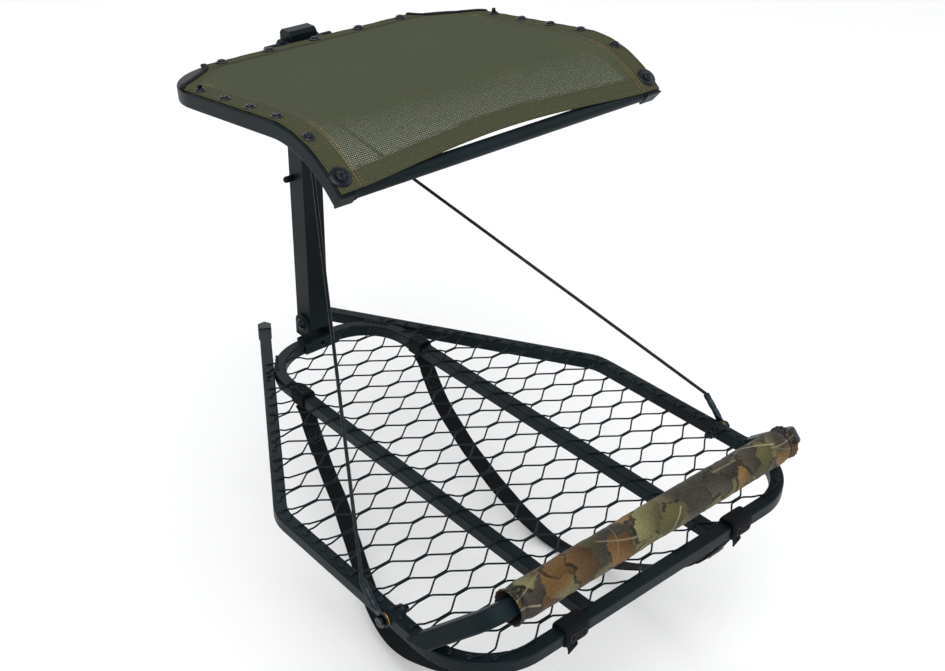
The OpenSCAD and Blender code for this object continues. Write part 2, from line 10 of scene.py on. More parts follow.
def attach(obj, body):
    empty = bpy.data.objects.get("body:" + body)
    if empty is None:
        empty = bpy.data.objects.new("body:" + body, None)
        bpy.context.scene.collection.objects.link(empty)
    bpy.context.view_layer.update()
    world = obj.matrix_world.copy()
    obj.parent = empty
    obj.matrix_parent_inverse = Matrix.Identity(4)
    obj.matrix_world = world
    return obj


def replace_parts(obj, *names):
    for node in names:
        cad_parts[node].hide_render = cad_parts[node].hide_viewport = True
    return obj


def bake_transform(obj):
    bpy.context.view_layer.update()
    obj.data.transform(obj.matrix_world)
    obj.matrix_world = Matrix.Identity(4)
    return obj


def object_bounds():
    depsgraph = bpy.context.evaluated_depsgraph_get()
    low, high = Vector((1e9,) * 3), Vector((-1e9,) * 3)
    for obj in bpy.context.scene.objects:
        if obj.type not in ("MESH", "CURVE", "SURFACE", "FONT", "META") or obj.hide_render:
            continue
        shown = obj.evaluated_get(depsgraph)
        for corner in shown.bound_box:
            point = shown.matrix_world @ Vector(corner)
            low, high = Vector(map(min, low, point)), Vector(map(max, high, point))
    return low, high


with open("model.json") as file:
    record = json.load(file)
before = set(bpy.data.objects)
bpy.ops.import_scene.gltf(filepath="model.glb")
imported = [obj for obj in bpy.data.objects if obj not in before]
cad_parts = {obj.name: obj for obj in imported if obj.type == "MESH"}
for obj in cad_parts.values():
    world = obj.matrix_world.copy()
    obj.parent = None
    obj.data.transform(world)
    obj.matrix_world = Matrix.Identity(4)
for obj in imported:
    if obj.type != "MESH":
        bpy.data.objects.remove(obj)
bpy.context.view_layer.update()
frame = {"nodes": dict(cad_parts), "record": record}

MM = 0.001

# ---------------------------------------------------------------- camera


def make_camera():
    az, el, roll = math.radians(-37.55), math.radians(30.71), math.radians(-1.05)
    back = Vector((math.sin(az) * math.cos(el), -math.cos(az) * math.cos(el), math.sin(el)))
    right = Vector((math.cos(az), math.sin(az), 0.0))
    up = back.cross(right)
    right_r = right * math.cos(roll) + up * math.sin(roll)
    up_r = up * math.cos(roll) - right * math.sin(roll)
    data = bpy.data.cameras.new("camera")
    data.sensor_width = 36.0
    data.lens = 47.52
    data.shift_x = 0.0949
    data.shift_y = -0.0085
    data.clip_start, data.clip_end = 0.05, 60.0
    cam = bpy.data.objects.new("camera", data)
    bpy.context.scene.collection.objects.link(cam)
    place = Matrix((right_r, up_r, back)).transposed().to_4x4()
    place.translation = Vector((-0.9504, -1.43435, 0.99426))
    cam.matrix_world = place
    bpy.context.scene.camera = cam


make_camera()

# ---------------------------------------------------------------- materials


class Mat:
    """A Principled material with short helpers for its node tree."""

    def __init__(self, name, **values):
        self.m = bpy.data.materials.new(name)
        self.m.use_nodes = True
        self.nt = self.m.node_tree
        self.bsdf = self.nt.nodes["Principled BSDF"]
        for key, value in values.items():
            self.bsdf.inputs[key.replace("_", " ")].default_value = value

    def node(self, kind, inputs=None, **props):
        n = self.nt.nodes.new(kind)
        for key, value in props.items():
            setattr(n, key, value)
        for key, value in (inputs or {}).items():
            if isinstance(value, bpy.types.NodeSocket):
                self.nt.links.new(value, n.inputs[key])
            else:
                n.inputs[key].default_value = value
        return n

    def math(self, op, a, b=0.0):
        return self.node("ShaderNodeMath", {0: a, 1: b}, operation=op).outputs[0]

    def noise(self, scale, detail=3.0, coords=None, rough=0.55, stretch=None):
        co = coords or self.node("ShaderNodeTexCoord").outputs["Object"]
        if stretch:
            co = self.node("ShaderNodeMapping", {"Vector": co, "Scale": stretch}).outputs[0]
        return self.node("ShaderNodeTexNoise", {"Vector": co, "Scale": scale,
                                                "Detail": detail, "Roughness": rough}).outputs[0]

    def mix(self, fac, a, b):
        n = self.node("ShaderNodeMix", data_type="RGBA")
        for key, value in ((0, fac), (6, a), (7, b)):
            if isinstance(value, bpy.types.NodeSocket):
                self.nt.links.new(value, n.inputs[key])
            else:
                n.inputs[key].default_value = value
        return n.outputs[2]

    def ramp(self, value, low, high, out_low=0.0, out_high=1.0):
        return self.node("ShaderNodeMapRange", {"Value": value, "From Min": low, "From Max": high,
                                                "To Min": out_low, "To Max": out_high}).outputs[0]

    def bump(self, height, strength, distance):
        inputs = {"Height": height, "Strength": strength, "Distance": distance}
        return self.node("ShaderNodeBump", inputs).outputs[0]

    def times(self, a, b):
        return self.math("MULTIPLY", a, b)

    def plus(self, a, b):
        return self.math("ADD", a, b)

    def out(self, **links):
        for key, value in links.items():
            self.nt.links.new(value, self.bsdf.inputs[key.replace("_", " ")])
        return self.m


def rgb(r, g, b):
    """sRGB 0-255 to a linear colour."""
    def lin(c):
        c /= 255.0
        return c / 12.92 if c <= 0.04045 else ((c + 0.055) / 1.055) ** 2.4
    return (lin(r), lin(g), lin(b), 1.0)


def powder(name, dark, light, rough=0.42, grain=650.0, depth=0.00022):
    """Powder coat: two close tones, orange-peel grain and slightly uneven gloss."""
    k = Mat(name, Specular_IOR_Level=0.14, Specular_Tint=(0.8, 0.95, 1.0, 1.0))
    patch = k.noise(9.0, 4.0)
    fine = k.noise(grain, 2.0)
    dust = k.ramp(k.noise(120.0, 5.0, rough=0.7), 0.66, 0.8)
    colour = k.mix(k.ramp(patch, 0.35, 0.7), dark, light)
    colour = k.mix(k.times(dust, 0.10), colour, rgb(46, 60, 66))
    return k.out(Base_Color=colour, Roughness=k.ramp(fine, 0.3, 0.7, rough - 0.06, rough + 0.1),
                 Normal=k.bump(fine, 0.35, depth))


def metal(name, colour, rough):
    k = Mat(name, Metallic=1.0)
    grime = k.noise(140.0, 4.0, rough=0.7)
    line = k.noise(900.0, 2.0, stretch=(1.0, 0.08, 1.0))
    tone = k.mix(k.ramp(grime, 0.45, 0.75), colour, tuple(c * 0.45 for c in colour[:3]) + (1.0,))
    return k.out(Base_Color=tone, Roughness=k.ramp(grime, 0.3, 0.7, rough, rough + 0.25),
                 Normal=k.bump(line, 0.15, 0.0001))


def black_fastener():
    k = Mat("black_fastener", Metallic=0.85)
    wear = k.noise(260.0, 4.0, rough=0.65)
    colour = k.mix(k.ramp(wear, 0.55, 0.75), rgb(30, 35, 40), rgb(56, 62, 68))
    return k.out(Base_Color=colour, Roughness=k.ramp(wear, 0.3, 0.7, 0.18, 0.34),
                 Normal=k.bump(wear, 0.12, 0.0002))


def plastic():
    k = Mat("black_plastic")
    fine = k.noise(420.0, 3.0)
    return k.out(Base_Color=k.mix(fine, rgb(24, 30, 33), rgb(36, 43, 46)),
                 Roughness=k.ramp(fine, 0.3, 0.7, 0.48, 0.62), Normal=k.bump(fine, 0.3, 0.0002))


def uv_axes(k):
    """The UV map's two axes, in millimetres."""
    uv = k.node("ShaderNodeUVMap", uv_map="mm").outputs[0]
    xyz = k.node("ShaderNodeSeparateXYZ", {0: uv})
    return xyz.outputs[0], xyz.outputs[1], uv


def wave_of(k, coord, pitch, phase=0.0):
    turn = k.times(coord, 2 * math.pi / pitch)
    return k.math("SINE", k.plus(turn, phase))


RIB_PITCH, CROSS_PITCH = 3.0, 2.4


def flecks(k, uv):
    """Pale slubs in the yarn, longer than they are wide."""
    return k.ramp(k.noise(0.9, 2.0, coords=uv, stretch=(1.0, 0.25, 1.0)), 0.5, 0.72)


def seat_cloth():
    """Coated polyester mesh: ribs along the depth, crossed by thinner threads, tiny holes."""
    k = Mat("seat_mesh", Roughness=0.9, Specular_IOR_Level=0.06)
    u, v, uv = uv_axes(k)
    rib, cross = wave_of(k, u, RIB_PITCH), wave_of(k, v, CROSS_PITCH)
    weave = k.times(rib, cross)
    patch = k.noise(0.012, 4.0, coords=uv)
    tall = k.plus(k.times(rib, 0.65), k.times(weave, 0.35))
    base = k.mix(k.ramp(tall, 0.6, -0.8), rgb(24, 30, 21), rgb(98, 104, 80))
    base = k.mix(k.times(flecks(k, uv), 0.3), base, rgb(104, 98, 66))
    base = k.mix(k.times(k.ramp(patch, 0.35, 0.7), 0.25), base, rgb(64, 70, 56))
    hole = k.times(k.math("GREATER_THAN", rib, 0.42),
                  k.math("GREATER_THAN", cross, 0.28))
    solid = k.math("SUBTRACT", 1.0, hole)
    return k.out(Base_Color=base, Alpha=solid, Normal=k.bump(tall, -0.5, 0.0004))


def seat_hem():
    """The same cloth folded over, so it has no holes."""
    k = Mat("seat_hem", Roughness=0.9, Specular_IOR_Level=0.06)
    u, v, uv = uv_axes(k)
    rib, cross = wave_of(k, u, RIB_PITCH), wave_of(k, v, CROSS_PITCH)
    weave = k.plus(k.times(rib, 0.65), k.times(cross, 0.3))
    base = k.mix(k.ramp(weave, -0.8, 0.8), rgb(40, 43, 31), rgb(82, 84, 62))
    base = k.mix(k.times(flecks(k, uv), 0.5), base, rgb(88, 84, 58))
    return k.out(Base_Color=base, Normal=k.bump(weave, 0.5, 0.0004))


def webbing():
    k = Mat("webbing", Roughness=0.8, Specular_IOR_Level=0.12)
    u, v, uv = uv_axes(k)
    rib = k.math("ABSOLUTE", wave_of(k, v, 2.6))
    zigzag = k.math("ABSOLUTE", wave_of(k, u, 9.0))
    herring = wave_of(k, k.plus(zigzag, k.times(v, 0.8)), 1.3)
    lint = k.noise(1.2, 3.0, coords=uv)
    colour = k.mix(k.ramp(rib, 0.1, 0.9), rgb(5, 7, 9), rgb(17, 20, 24))
    colour = k.mix(k.times(k.ramp(lint, 0.62, 0.75), 0.4), colour, rgb(70, 72, 76))
    height = k.plus(rib, k.times(herring, 0.3))
    return k.out(Base_Color=colour, Normal=k.bump(height, 0.6, 0.0005))


def camo_cloth():
    """The painted print, with painted shade at the sleeve's mouths, comes from the mesh; the nodes add
    the brushed cotton.
    """
    k = Mat("camo_cloth", Roughness=0.9, Specular_IOR_Level=0.12, Sheen_Weight=0.08)
    print_and_shade = k.node("ShaderNodeVertexColor", layer_name="print").outputs[0]
    u, v, uv = uv_axes(k)
    weave = k.times(wave_of(k, u, 0.9), wave_of(k, v, 0.9))
    blot = k.noise(0.5, 4.0, coords=uv, rough=0.7)
    shade = k.mix(k.ramp(blot, 0.3, 0.75), (0.55, 0.54, 0.52, 1.0), (1.05, 1.03, 0.98, 1.0))
    colour = k.node("ShaderNodeMix", data_type="RGBA", blend_type="MULTIPLY")
    colour.inputs[0].default_value = 1.0
    k.nt.links.new(print_and_shade, colour.inputs[6])
    k.nt.links.new(shade, colour.inputs[7])
    height = k.plus(k.times(weave, 0.4), blot)
    return k.out(Base_Color=colour.outputs[2], Normal=k.bump(height, 0.35, 0.0005))


def cable_coat():
    """Vinyl over seven strands: the lay shows through as a faint helix."""
    k = Mat("cable_coat", Roughness=0.42, Specular_IOR_Level=0.2)
    u, v, uv = uv_axes(k)
    lay = wave_of(k, k.plus(k.times(u, 2.2), k.times(v, 0.42)), 6.0)
    dust = k.noise(0.08, 4.0, coords=uv)
    colour = k.mix(k.ramp(dust, 0.4, 0.75), rgb(8, 14, 18), rgb(22, 31, 36))
    return k.out(Base_Color=colour, Normal=k.bump(lay, 0.35, 0.0003))


def thread(name, colour, dark):
    k = Mat(name, Roughness=0.7, Sheen_Weight=0.2)
    twist = k.noise(1500.0, 2.0)
    return k.out(Base_Color=k.mix(twist, dark, colour), Normal=k.bump(twist, 0.4, 0.0002))


steel_dark, steel_light = rgb(6, 13, 16), rgb(14, 26, 30)
MATS = {
    "powder_coat": powder("powder_coat", steel_dark, steel_light),
    "mesh_coat": powder("mesh_coat", rgb(7, 14, 18), rgb(15, 26, 31), 0.45, 900.0),
    "zinc": metal("zinc", rgb(176, 180, 182), 0.28),
    "washer": metal("washer", rgb(66, 71, 76), 0.22),
    "zinc_yellow": metal("zinc_yellow", rgb(196, 150, 84), 0.3),
    "black_fastener": black_fastener(),
    "black_plastic": plastic(),
    "cable_coat": cable_coat(),
    "terminal": metal("terminal", rgb(50, 57, 62), 0.34),
    "webbing": webbing(),
    "seat_mesh": seat_cloth(),
    "seat_hem": seat_hem(),
    "camo_cloth": camo_cloth(),
    "gold_thread": thread("gold_thread", rgb(158, 122, 54), rgb(104, 78, 34)),
    "olive_thread": thread("olive_thread", rgb(92, 86, 54), rgb(60, 56, 36)),
    "black_thread": thread("black_thread", rgb(30, 33, 35), rgb(12, 14, 16)),
    "weld": powder("weld", rgb(12, 17, 21), rgb(24, 32, 37), 0.34, 380.0, 0.0006),
}
for entry in frame["record"]["subparts"]:
    holder = frame["nodes"][entry["node"]]
    holder.data.materials.clear()
    holder.data.materials.append(MATS[entry["material_slot"]])


# ---------------------------------------------------------------- mesh helpers


def noise_at(x, y, z):
    return noise.noise(Vector((x, y, z)))


def build(name, verts, faces, mat, body, slot=None, uvs=None):
    """A mesh piece in millimetres that rides on a body. uvs gives each vertex's place in mm."""
    mesh = bpy.data.meshes.new(name)
    mesh.from_pydata([tuple(c * MM for c in v) for v in verts], [], faces)
    mesh.validate()
    mats = mat if isinstance(mat, (list, tuple)) else [mat]
    for m in mats:
        mesh.materials.append(MATS[m])
    mesh.polygons.foreach_set("use_smooth", [True] * len(mesh.polygons))
    if uvs is not None:
        layer = mesh.uv_layers.new(name="mm")
        order = np.zeros(len(mesh.loops), int)
        mesh.loops.foreach_get("vertex_index", order)
        layer.data.foreach_set("uv", np.asarray(uvs, np.float32)[order].ravel())
    obj = bpy.data.objects.new(name, mesh)
    bpy.context.scene.collection.objects.link(obj)
    if body:
        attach(obj, body)
    return obj


def frames_along(path, up=None):
    """Side and normal at each point, carried along without twist."""
    p = np.asarray(path, float)
    n = len(p)
    t = np.gradient(p, axis=0)
    t /= np.linalg.norm(t, axis=1)[:, None] + 1e-12
    a = np.asarray(up if up is not None else (0, 0, 1), float)
    if up is None and abs(np.dot(a, t[0])) > 0.9:
        a = np.array((1.0, 0, 0))
    side, normal = np.zeros((n, 3)), np.zeros((n, 3))
    for i in range(n):
        ref = a if (up is not None or i == 0) else normal[i - 1]
        s = np.cross(t[i], ref)
        length = np.linalg.norm(s)
        s = s / length if length > 1e-6 else side[i - 1]
        side[i], normal[i] = s, np.cross(s, t[i])
    return side, normal


def arc_lengths(path):
    p = np.asarray(path, float)
    return np.concatenate([[0.0], np.cumsum(np.linalg.norm(np.diff(p, axis=0), axis=1))])


def ring_faces(rows, n):
    """Quads between rows of n points each, and a face across each end."""
    faces = [(k * n + i, k * n + (i + 1) % n, (k + 1) * n + (i + 1) % n, (k + 1) * n + i)
             for k in range(rows - 1) for i in range(n)]
    return faces + [tuple(range(n - 1, -1, -1)), tuple(range((rows - 1) * n, rows * n))]


def sweep(path, section, up=None, scale=None):
    """Sweeps a closed section (side, normal pairs) along a path: verts, faces, uvs."""
    p = np.asarray(path, float)
    side, normal = frames_along(p, up)
    run = arc_lengths(p)
    sec = np.asarray(section, float)
    m = len(sec)
    round_ = np.concatenate([[0.0], np.cumsum(np.linalg.norm(np.diff(sec, axis=0), axis=1))])
    verts, uvs = [], []
    for i in range(len(p)):
        k = 1.0 if scale is None else scale[i]
        for j in range(m):
            verts.append(p[i] + side[i] * sec[j][0] * k + normal[i] * sec[j][1] * k)
            uvs.append((round_[j], run[i]))
    return verts, ring_faces(len(p), m), uvs


def circle(r, n):
    return [(r * math.cos(2 * math.pi * i / n), r * math.sin(2 * math.pi * i / n))
            for i in range(n)]


def smooth_path(points, step=6.0, rounds=3):
    """Resamples a polyline evenly and rounds its corners."""
    p = np.asarray(points, float)
    for _ in range(rounds):
        q = [p[0]]
        for a, b in zip(p[:-1], p[1:]):
            q += [a * 0.75 + b * 0.25, a * 0.25 + b * 0.75]
        q.append(p[-1])
        p = np.array(q)
    run = arc_lengths(p)
    n = max(2, int(run[-1] / step) + 1)
    want = np.linspace(0, run[-1], n)
    return np.stack([np.interp(want, run, p[:, i]) for i in range(3)], 1)


class Pile:
    """Gathers many small pieces into one mesh."""

    def __init__(self):
        self.verts, self.faces, self.uvs = [], [], []

    def add(self, verts, faces, uvs=None):
        k = len(self.verts)
        self.verts += [tuple(v) for v in verts]
        self.faces += [tuple(i + k for i in f) for f in faces]
        self.uvs += list(uvs) if uvs is not None else [(v[0], v[1]) for v in verts]

    def made(self, name, mat, body, **more):
        return build(name, self.verts, self.faces, mat, body, uvs=self.uvs, **more)


def axes_about(axis):
    """The axis and two directions square to it, all of length 1."""
    w = Vector(axis).normalized()
    u = w.orthogonal().normalized()
    return w, u, w.cross(u)


def spun(profile, origin, axis, n):
    """Turns (radius, height) pairs about an axis through origin: verts, faces."""
    w, u, v = axes_about(axis)
    o = Vector(origin)
    verts = []
    for r, h in profile:
        for i in range(n):
            a = 2 * math.pi * i / n
            verts.append(tuple(o + w * h + (u * math.cos(a) + v * math.sin(a)) * r))
    return verts, ring_faces(len(profile), n)


# ---------------------------------------------------------------- stage and lights


def make_stage():
    floor_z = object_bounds()[0].z - 0.003
    n = 40
    size = 40.0
    verts = [((i / n - 0.5) * size, (j / n - 0.5) * size, floor_z)
             for j in range(n + 1) for i in range(n + 1)]
    faces = [(j * (n + 1) + i, j * (n + 1) + i + 1, (j + 1) * (n + 1) + i + 1, (j + 1) * (n + 1) + i)
             for j in range(n) for i in range(n)]
    mesh = bpy.data.meshes.new("floor")
    mesh.from_pydata(verts, [], faces)
    floor = bpy.data.objects.new("floor", mesh)
    bpy.context.scene.collection.objects.link(floor)
    k = Mat("floor", Roughness=0.9, Specular_IOR_Level=0.1)
    tone = k.noise(1.2, 2.0)
    mesh.materials.append(k.out(Base_Color=k.mix(tone, (0.86, 0.86, 0.855, 1.0), (0.9, 0.9, 0.9, 1.0))))


def area_light(name, place, target, size, power, colour=(1.0, 1.0, 1.0)):
    data = bpy.data.lights.new(name, "AREA")
    data.shape, data.size, data.size_y = "RECTANGLE", size[0], size[1]
    data.energy, data.color = power, colour
    light = bpy.data.objects.new(name, data)
    bpy.context.scene.collection.objects.link(light)
    light.location = place
    aim = Vector(target) - Vector(place)
    light.rotation_mode = "QUATERNION"
    light.rotation_quaternion = aim.to_track_quat("-Z", "Y")


def make_lights():
    world = bpy.data.worlds.new("studio")
    world.use_nodes = True
    back = world.node_tree.nodes["Background"]
    back.inputs[0].default_value = (0.97, 0.98, 1.0, 1.0)
    back.inputs[1].default_value = 0.7
    bpy.context.scene.world = world
    bpy.context.scene.view_settings.view_transform = "Standard"
    middle = (0.0, -0.35, 0.15)
    sun = bpy.data.lights.new("sky", "SUN")
    sun.energy, sun.angle = 1.25, math.radians(60.0)
    high = bpy.data.objects.new("sky", sun)
    bpy.context.scene.collection.objects.link(high)
    high.rotation_euler = (math.radians(28.0), math.radians(-22.0), 0.0)
    area_light("key", (-1.4, -1.9, 2.6), middle, (1.6, 1.6), 20.0, (1.0, 0.99, 0.97))
    area_light("fill", (2.2, -1.6, 1.6), middle, (1.8, 1.8), 12.0, (0.96, 0.98, 1.0))
    area_light("rim", (0.6, 2.2, 2.2), middle, (1.8, 1.2), 16.0)


make_stage()
make_lights()

# ---------------------------------------------------------------- shared sizes, in millimetres

PLATE_Z, TUBE = -33.0, 18.0
TUBE_TOP = PLATE_Z + TUBE / 2
FRONT_Y = -730.5
LEG_X, HALF_W = 111.2, 292.0
HINGE_Y = -17.5
SIDE_BOLT = (-585.0, PLATE_Z)
SEAT_AT = Vector((0.0, -58.0, 451.0))
SEAT_TILT = math.radians(-5.7)
RAIL_X, RAIL_FLAT, DROP_R = 240.0, 269.0, 150.0
DROP = math.radians(46.0)


def seat_point(x, s, n):
    """A point on the seat: x across, s forward along the rails' middle line, n above it."""
    if s <= RAIL_FLAT:
        y, z = -s, n
    elif s <= RAIL_FLAT + DROP_R * DROP:
        a = (s - RAIL_FLAT) / DROP_R
        y = -RAIL_FLAT - (DROP_R + n) * math.sin(a)
        z = -DROP_R + (DROP_R + n) * math.cos(a)
    else:
        rest = s - RAIL_FLAT - DROP_R * DROP
        y = -RAIL_FLAT - (DROP_R + n) * math.sin(DROP) - rest * math.cos(DROP)
        z = -DROP_R + (DROP_R + n) * math.cos(DROP) - rest * math.sin(DROP)
    c, d = math.cos(SEAT_TILT), math.sin(SEAT_TILT)
    return (SEAT_AT.x + x, SEAT_AT.y + y * c - z * d, SEAT_AT.z + y * d + z * c)


def seat_normal(s):
    a = min(max((s - RAIL_FLAT) / DROP_R, 0.0), DROP)
    y, z = -math.sin(a), math.cos(a)
    c, d = math.cos(SEAT_TILT), math.sin(SEAT_TILT)
    return Vector((0.0, y * c - z * d, y * d + z * c))


# ---------------------------------------------------------------- floor mesh

WIRE, COL_PITCH, ROW_PITCH, SHORT = 2.4, 42.9, 19.0, 21.0
COL_X, ROW_Y = 7.1, -288.4


def tube_side_x(y):
    """Distance from the middle to the side tube's centre line."""
    if y > -355.5:
        return 48 + (52 - y) * 244 / 407.5
    if y > FRONT_Y + 91:
        return HALF_W
    return HALF_W - 91 + math.sqrt(max(0.0, 91 ** 2 - (y - FRONT_Y - 91) ** 2))


def wire_y(i, c):
    off = WIRE / 2 - 0.05
    return ROW_Y + i * ROW_PITCH + off if (c - i) % 2 == 0 else ROW_Y + (i + 1) * ROW_PITCH - off


def bent_wire(pts, cut=3.6, step=2.6):
    """A wire through pts in the floor's plane, with tight bends."""
    out = [np.array((*pts[0], 0.0))]
    for a, b, c in zip(pts[:-2], pts[1:-1], pts[2:]):
        a, b, c = (np.array((*q, 0.0)) for q in (a, b, c))
        p = b + (a - b) / np.linalg.norm(a - b) * cut
        q = b + (c - b) / np.linalg.norm(c - b) * cut
        out += [p * (1 - t) ** 2 + b * 2 * t * (1 - t) + q * t * t for t in (0.0, 0.25, 0.5, 0.75, 1.0)]
    out.append(np.array((*pts[-1], 0.0)))
    dense = [out[0]]
    for p, q in zip(out[:-1], out[1:]):
        n = max(1, int(np.linalg.norm(q - p) / step))
        dense += [p + (q - p) * k / n for k in range(1, n + 1)]
    return dense


def rest_on(away):
    """1 where a wire lies on a tube, easing to 0 between the tubes."""
    t = min(max((abs(away) - TUBE / 2 + 1.5) / 9.0, 0.0), 1.0)
    return 1 - t * t * (3 - 2 * t)


def make_floor_mesh():
    """Wavy wires welded side by side, each pressed over the tubes and welded at its ends."""
    rng = random.Random(11)
    pile, welds = Pile(), Pile()
    low = math.ceil((FRONT_Y - ROW_Y) / ROW_PITCH)
    high = math.floor((-59.5 - ROW_Y) / ROW_PITCH)
    for i in range(low, high + 1):
        mid = ROW_Y + (i + 0.5) * ROW_PITCH
        reach = tube_side_x(mid) + 3.0
        first = math.ceil((-reach - COL_X + SHORT / 2) / COL_PITCH)
        last = math.floor((reach - COL_X - SHORT / 2) / COL_PITCH)
        pts = [(-reach, wire_y(i, first - 1) * 0.5 + wire_y(i, first) * 0.5)]
        for c in range(first, last + 1):
            for s in (-1, 1):
                pts.append((COL_X + c * COL_PITCH + s * SHORT / 2, wire_y(i, c)))
        pts.append((reach, wire_y(i, last + 1) * 0.5 + wire_y(i, last) * 0.5))
        path = []
        for x, y, _ in bent_wire(pts):
            over = max(rest_on(abs(x) - LEG_X) if y < -105 else 0.0, rest_on(reach - 3.0 - abs(x)),
                       rest_on(math.hypot(x, y + 112) - 82) if y > -112 else 0.0, rest_on(y - FRONT_Y))
            sag = 2.6 + 0.8 * noise_at(x * 0.012, y * 0.012, 3.0)
            path.append((x, y, TUBE_TOP + WIRE / 2 - 0.3 - sag * (1 - over)))
        pile.add(*sweep(path, circle(WIRE / 2, 8)))
        for end in (path[0], path[-1]):
            blob = []
            r = rng.uniform(3.4, 4.6)
            for rr, h in ((1.0, -0.4), (0.95, 0.25), (0.66, 0.62), (0.28, 0.82)):
                blob.append((r * rr, r * h * 0.72))
            at = (end[0] - math.copysign(2.5, end[0]), end[1], TUBE_TOP)
            welds.add(*spun(blob, at, (0, 0, 1), 12))
    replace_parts(pile.made("floor_wires", "mesh_coat", "platform"), "mesh_floor")
    welds.made("wire_welds", "weld", "platform", slot="mesh_coat")


make_floor_mesh()

# ---------------------------------------------------------------- weld beads


def bead(pile, path, r=2.2, seed=0, step=1.4):
    """A rippled weld bead along a path."""
    p = smooth_path(path, step, 1)
    run = arc_lengths(p)
    scale = [(0.82 + 0.16 * math.sin(s * 2.6) + 0.16 * noise_at(s * 0.4, seed, 1.7))
             * (0.55 if i in (0, len(p) - 1) else 1.0) for i, s in enumerate(run)]
    pile.add(*sweep(p, circle(r, 8), scale=scale))


def make_welds():
    plate, seat, post = Pile(), Pile(), Pile()
    h = TUBE / 2
    # inner tubes against the front tube
    for sx in (-1, 1):
        bead(plate, [(sx * LEG_X + e, FRONT_Y + h, TUBE_TOP - 0.3) for e in (-h, h)], 2.3, sx)
        for side in (-1, 1):
            bead(plate, [(sx * LEG_X + side * h, FRONT_Y + h, TUBE_TOP),
                         (sx * LEG_X + side * h, FRONT_Y + h, PLATE_Z - h)], 2.2, side + 5)
        # crown of the hoop against the rear legs
        bead(plate, [(sx * 84, -38, TUBE_TOP - 0.2), (sx * 96, -54, TUBE_TOP + 0.1),
                     (sx * 107, -74, TUBE_TOP - 0.2)], 2.6, sx + 9)
        low = PLATE_Z - h + 0.2
        bead(plate, [(sx * 84, -38, low), (sx * 107, -74, low)], 2.4, sx + 12)
        # bracket saddle on the hoop
        bead(plate, [(sx * 32, -41, TUBE_TOP), (sx * 32, -30, TUBE_TOP + 1.4),
                     (sx * 32, -18, TUBE_TOP)], 2.0, 3 + sx)
        # ears on the saddle
        bead(plate, [(sx * 21.9, -33, -20.6), (sx * 21.9, -2, -20.6)], 1.8, 6 + sx)
    # seat: crossbar ends, hinge arms
    s_bar = RAIL_FLAT + DROP_R * DROP + 9.0
    for sx in (-1, 1):
        ring = []
        n = seat_normal(s_bar)
        along = Vector((0.0, -n.z, n.y))
        c = Vector(seat_point(sx * (RAIL_X - 12.0), s_bar, 0.0))
        for k in range(13):
            a = 2 * math.pi * k / 12
            ring.append(tuple(c + n * 9.0 * math.cos(a) + along * 9.0 * math.sin(a)))
        bead(seat, ring, 1.9, 21 + sx)
        for side in (24.0, 30.0):
            bead(seat, [(sx * side, -45.6, 443.0), (sx * side, -45.2, 451.5)], 1.5, side)
        # bracket cheeks on the post
        bead(post, [(sx * 17.9, -31.3, 425.0), (sx * 17.9, -31.3, 429.5)], 1.6, 31)
        bead(post, [(sx * 17.9, -3.7, 425.0), (sx * 17.9, -3.7, 429.5)], 1.6, 33)
        bead(post, [(sx * 18.6, -31.0, 424.2), (sx * 18.6, HINGE_Y, 423.7), (sx * 18.6, -4.0, 424.2)],
             1.8, 35)
        bead(post, [(sx * 14.2, -35.2, 429.5), (sx * 14.2, -35.2, 400.0)], 1.6, 37)
    plate.made("platform_welds", "weld", "platform", slot="powder_coat")
    seat.made("seat_welds", "weld", "seat", slot="powder_coat")
    post.made("post_welds", "weld", "post", slot="powder_coat")


make_welds()


def leg_foot_welds():
    pile = Pile()
    for sx in (-1, 1):
        c = Vector((sx * 295.0, -646.9, TUBE_TOP))
        ring = []
        for k in range(21):
            a = 2 * math.pi * k / 20
            q = abs(math.cos(a)) ** 3 + abs(math.sin(a)) ** 3
            r = q ** (-1 / 3)
            ring.append((c.x + 11.8 * r * math.cos(a), c.y + 15.6 * r * math.sin(a), c.z + 0.2))
        ring = [p for p in ring if abs(p[0]) < 301.5 and abs(p[0]) > 283]
        ring.sort(key=lambda p: math.atan2(p[1] - c.y, p[0] - c.x))
        rear = [p for p in ring if p[1] > c.y]
        front = [p for p in ring if p[1] <= c.y]
        for part in (rear, front):
            part.sort(key=lambda p: p[0])
            if len(part) > 1:
                bead(pile, part, 2.2, sx)
    pile.made("footrest_welds", "weld", "platform", slot="powder_coat")


leg_foot_welds()

# ---------------------------------------------------------------- seat cloth


def cloth_half(s):
    """Half width of the cloth: straight rear edge, hollow rear corners, straight sides."""
    knots = [(-12, 173), (-8, 174), (0, 176), (8, 180), (18, 188), (30, 204), (42, 219),
             (54, 234), (62, 245), (70, 250), (420, 250)]
    for (a, wa), (b, wb) in zip(knots[:-1], knots[1:]):
        if s <= b:
            return wa + (wb - wa) * max(0.0, (s - a)) / (b - a)
    return 250.0


CLOTH_END = RAIL_FLAT + DROP_R * DROP + 14.0
SIDE_SCREWS = [100.0, 156.0, 212.0, 268.0, RAIL_FLAT + DROP_R * math.radians(21.5)]
LIP_SCREW = RAIL_FLAT + DROP_R * math.radians(44.0)
REAR_SCREWS = [i * 74.7 for i in range(-2, 3)]


def cloth_end(x):
    return CLOTH_END - 15.0 * (1 - (x / 250.0) ** 2) ** 1.8


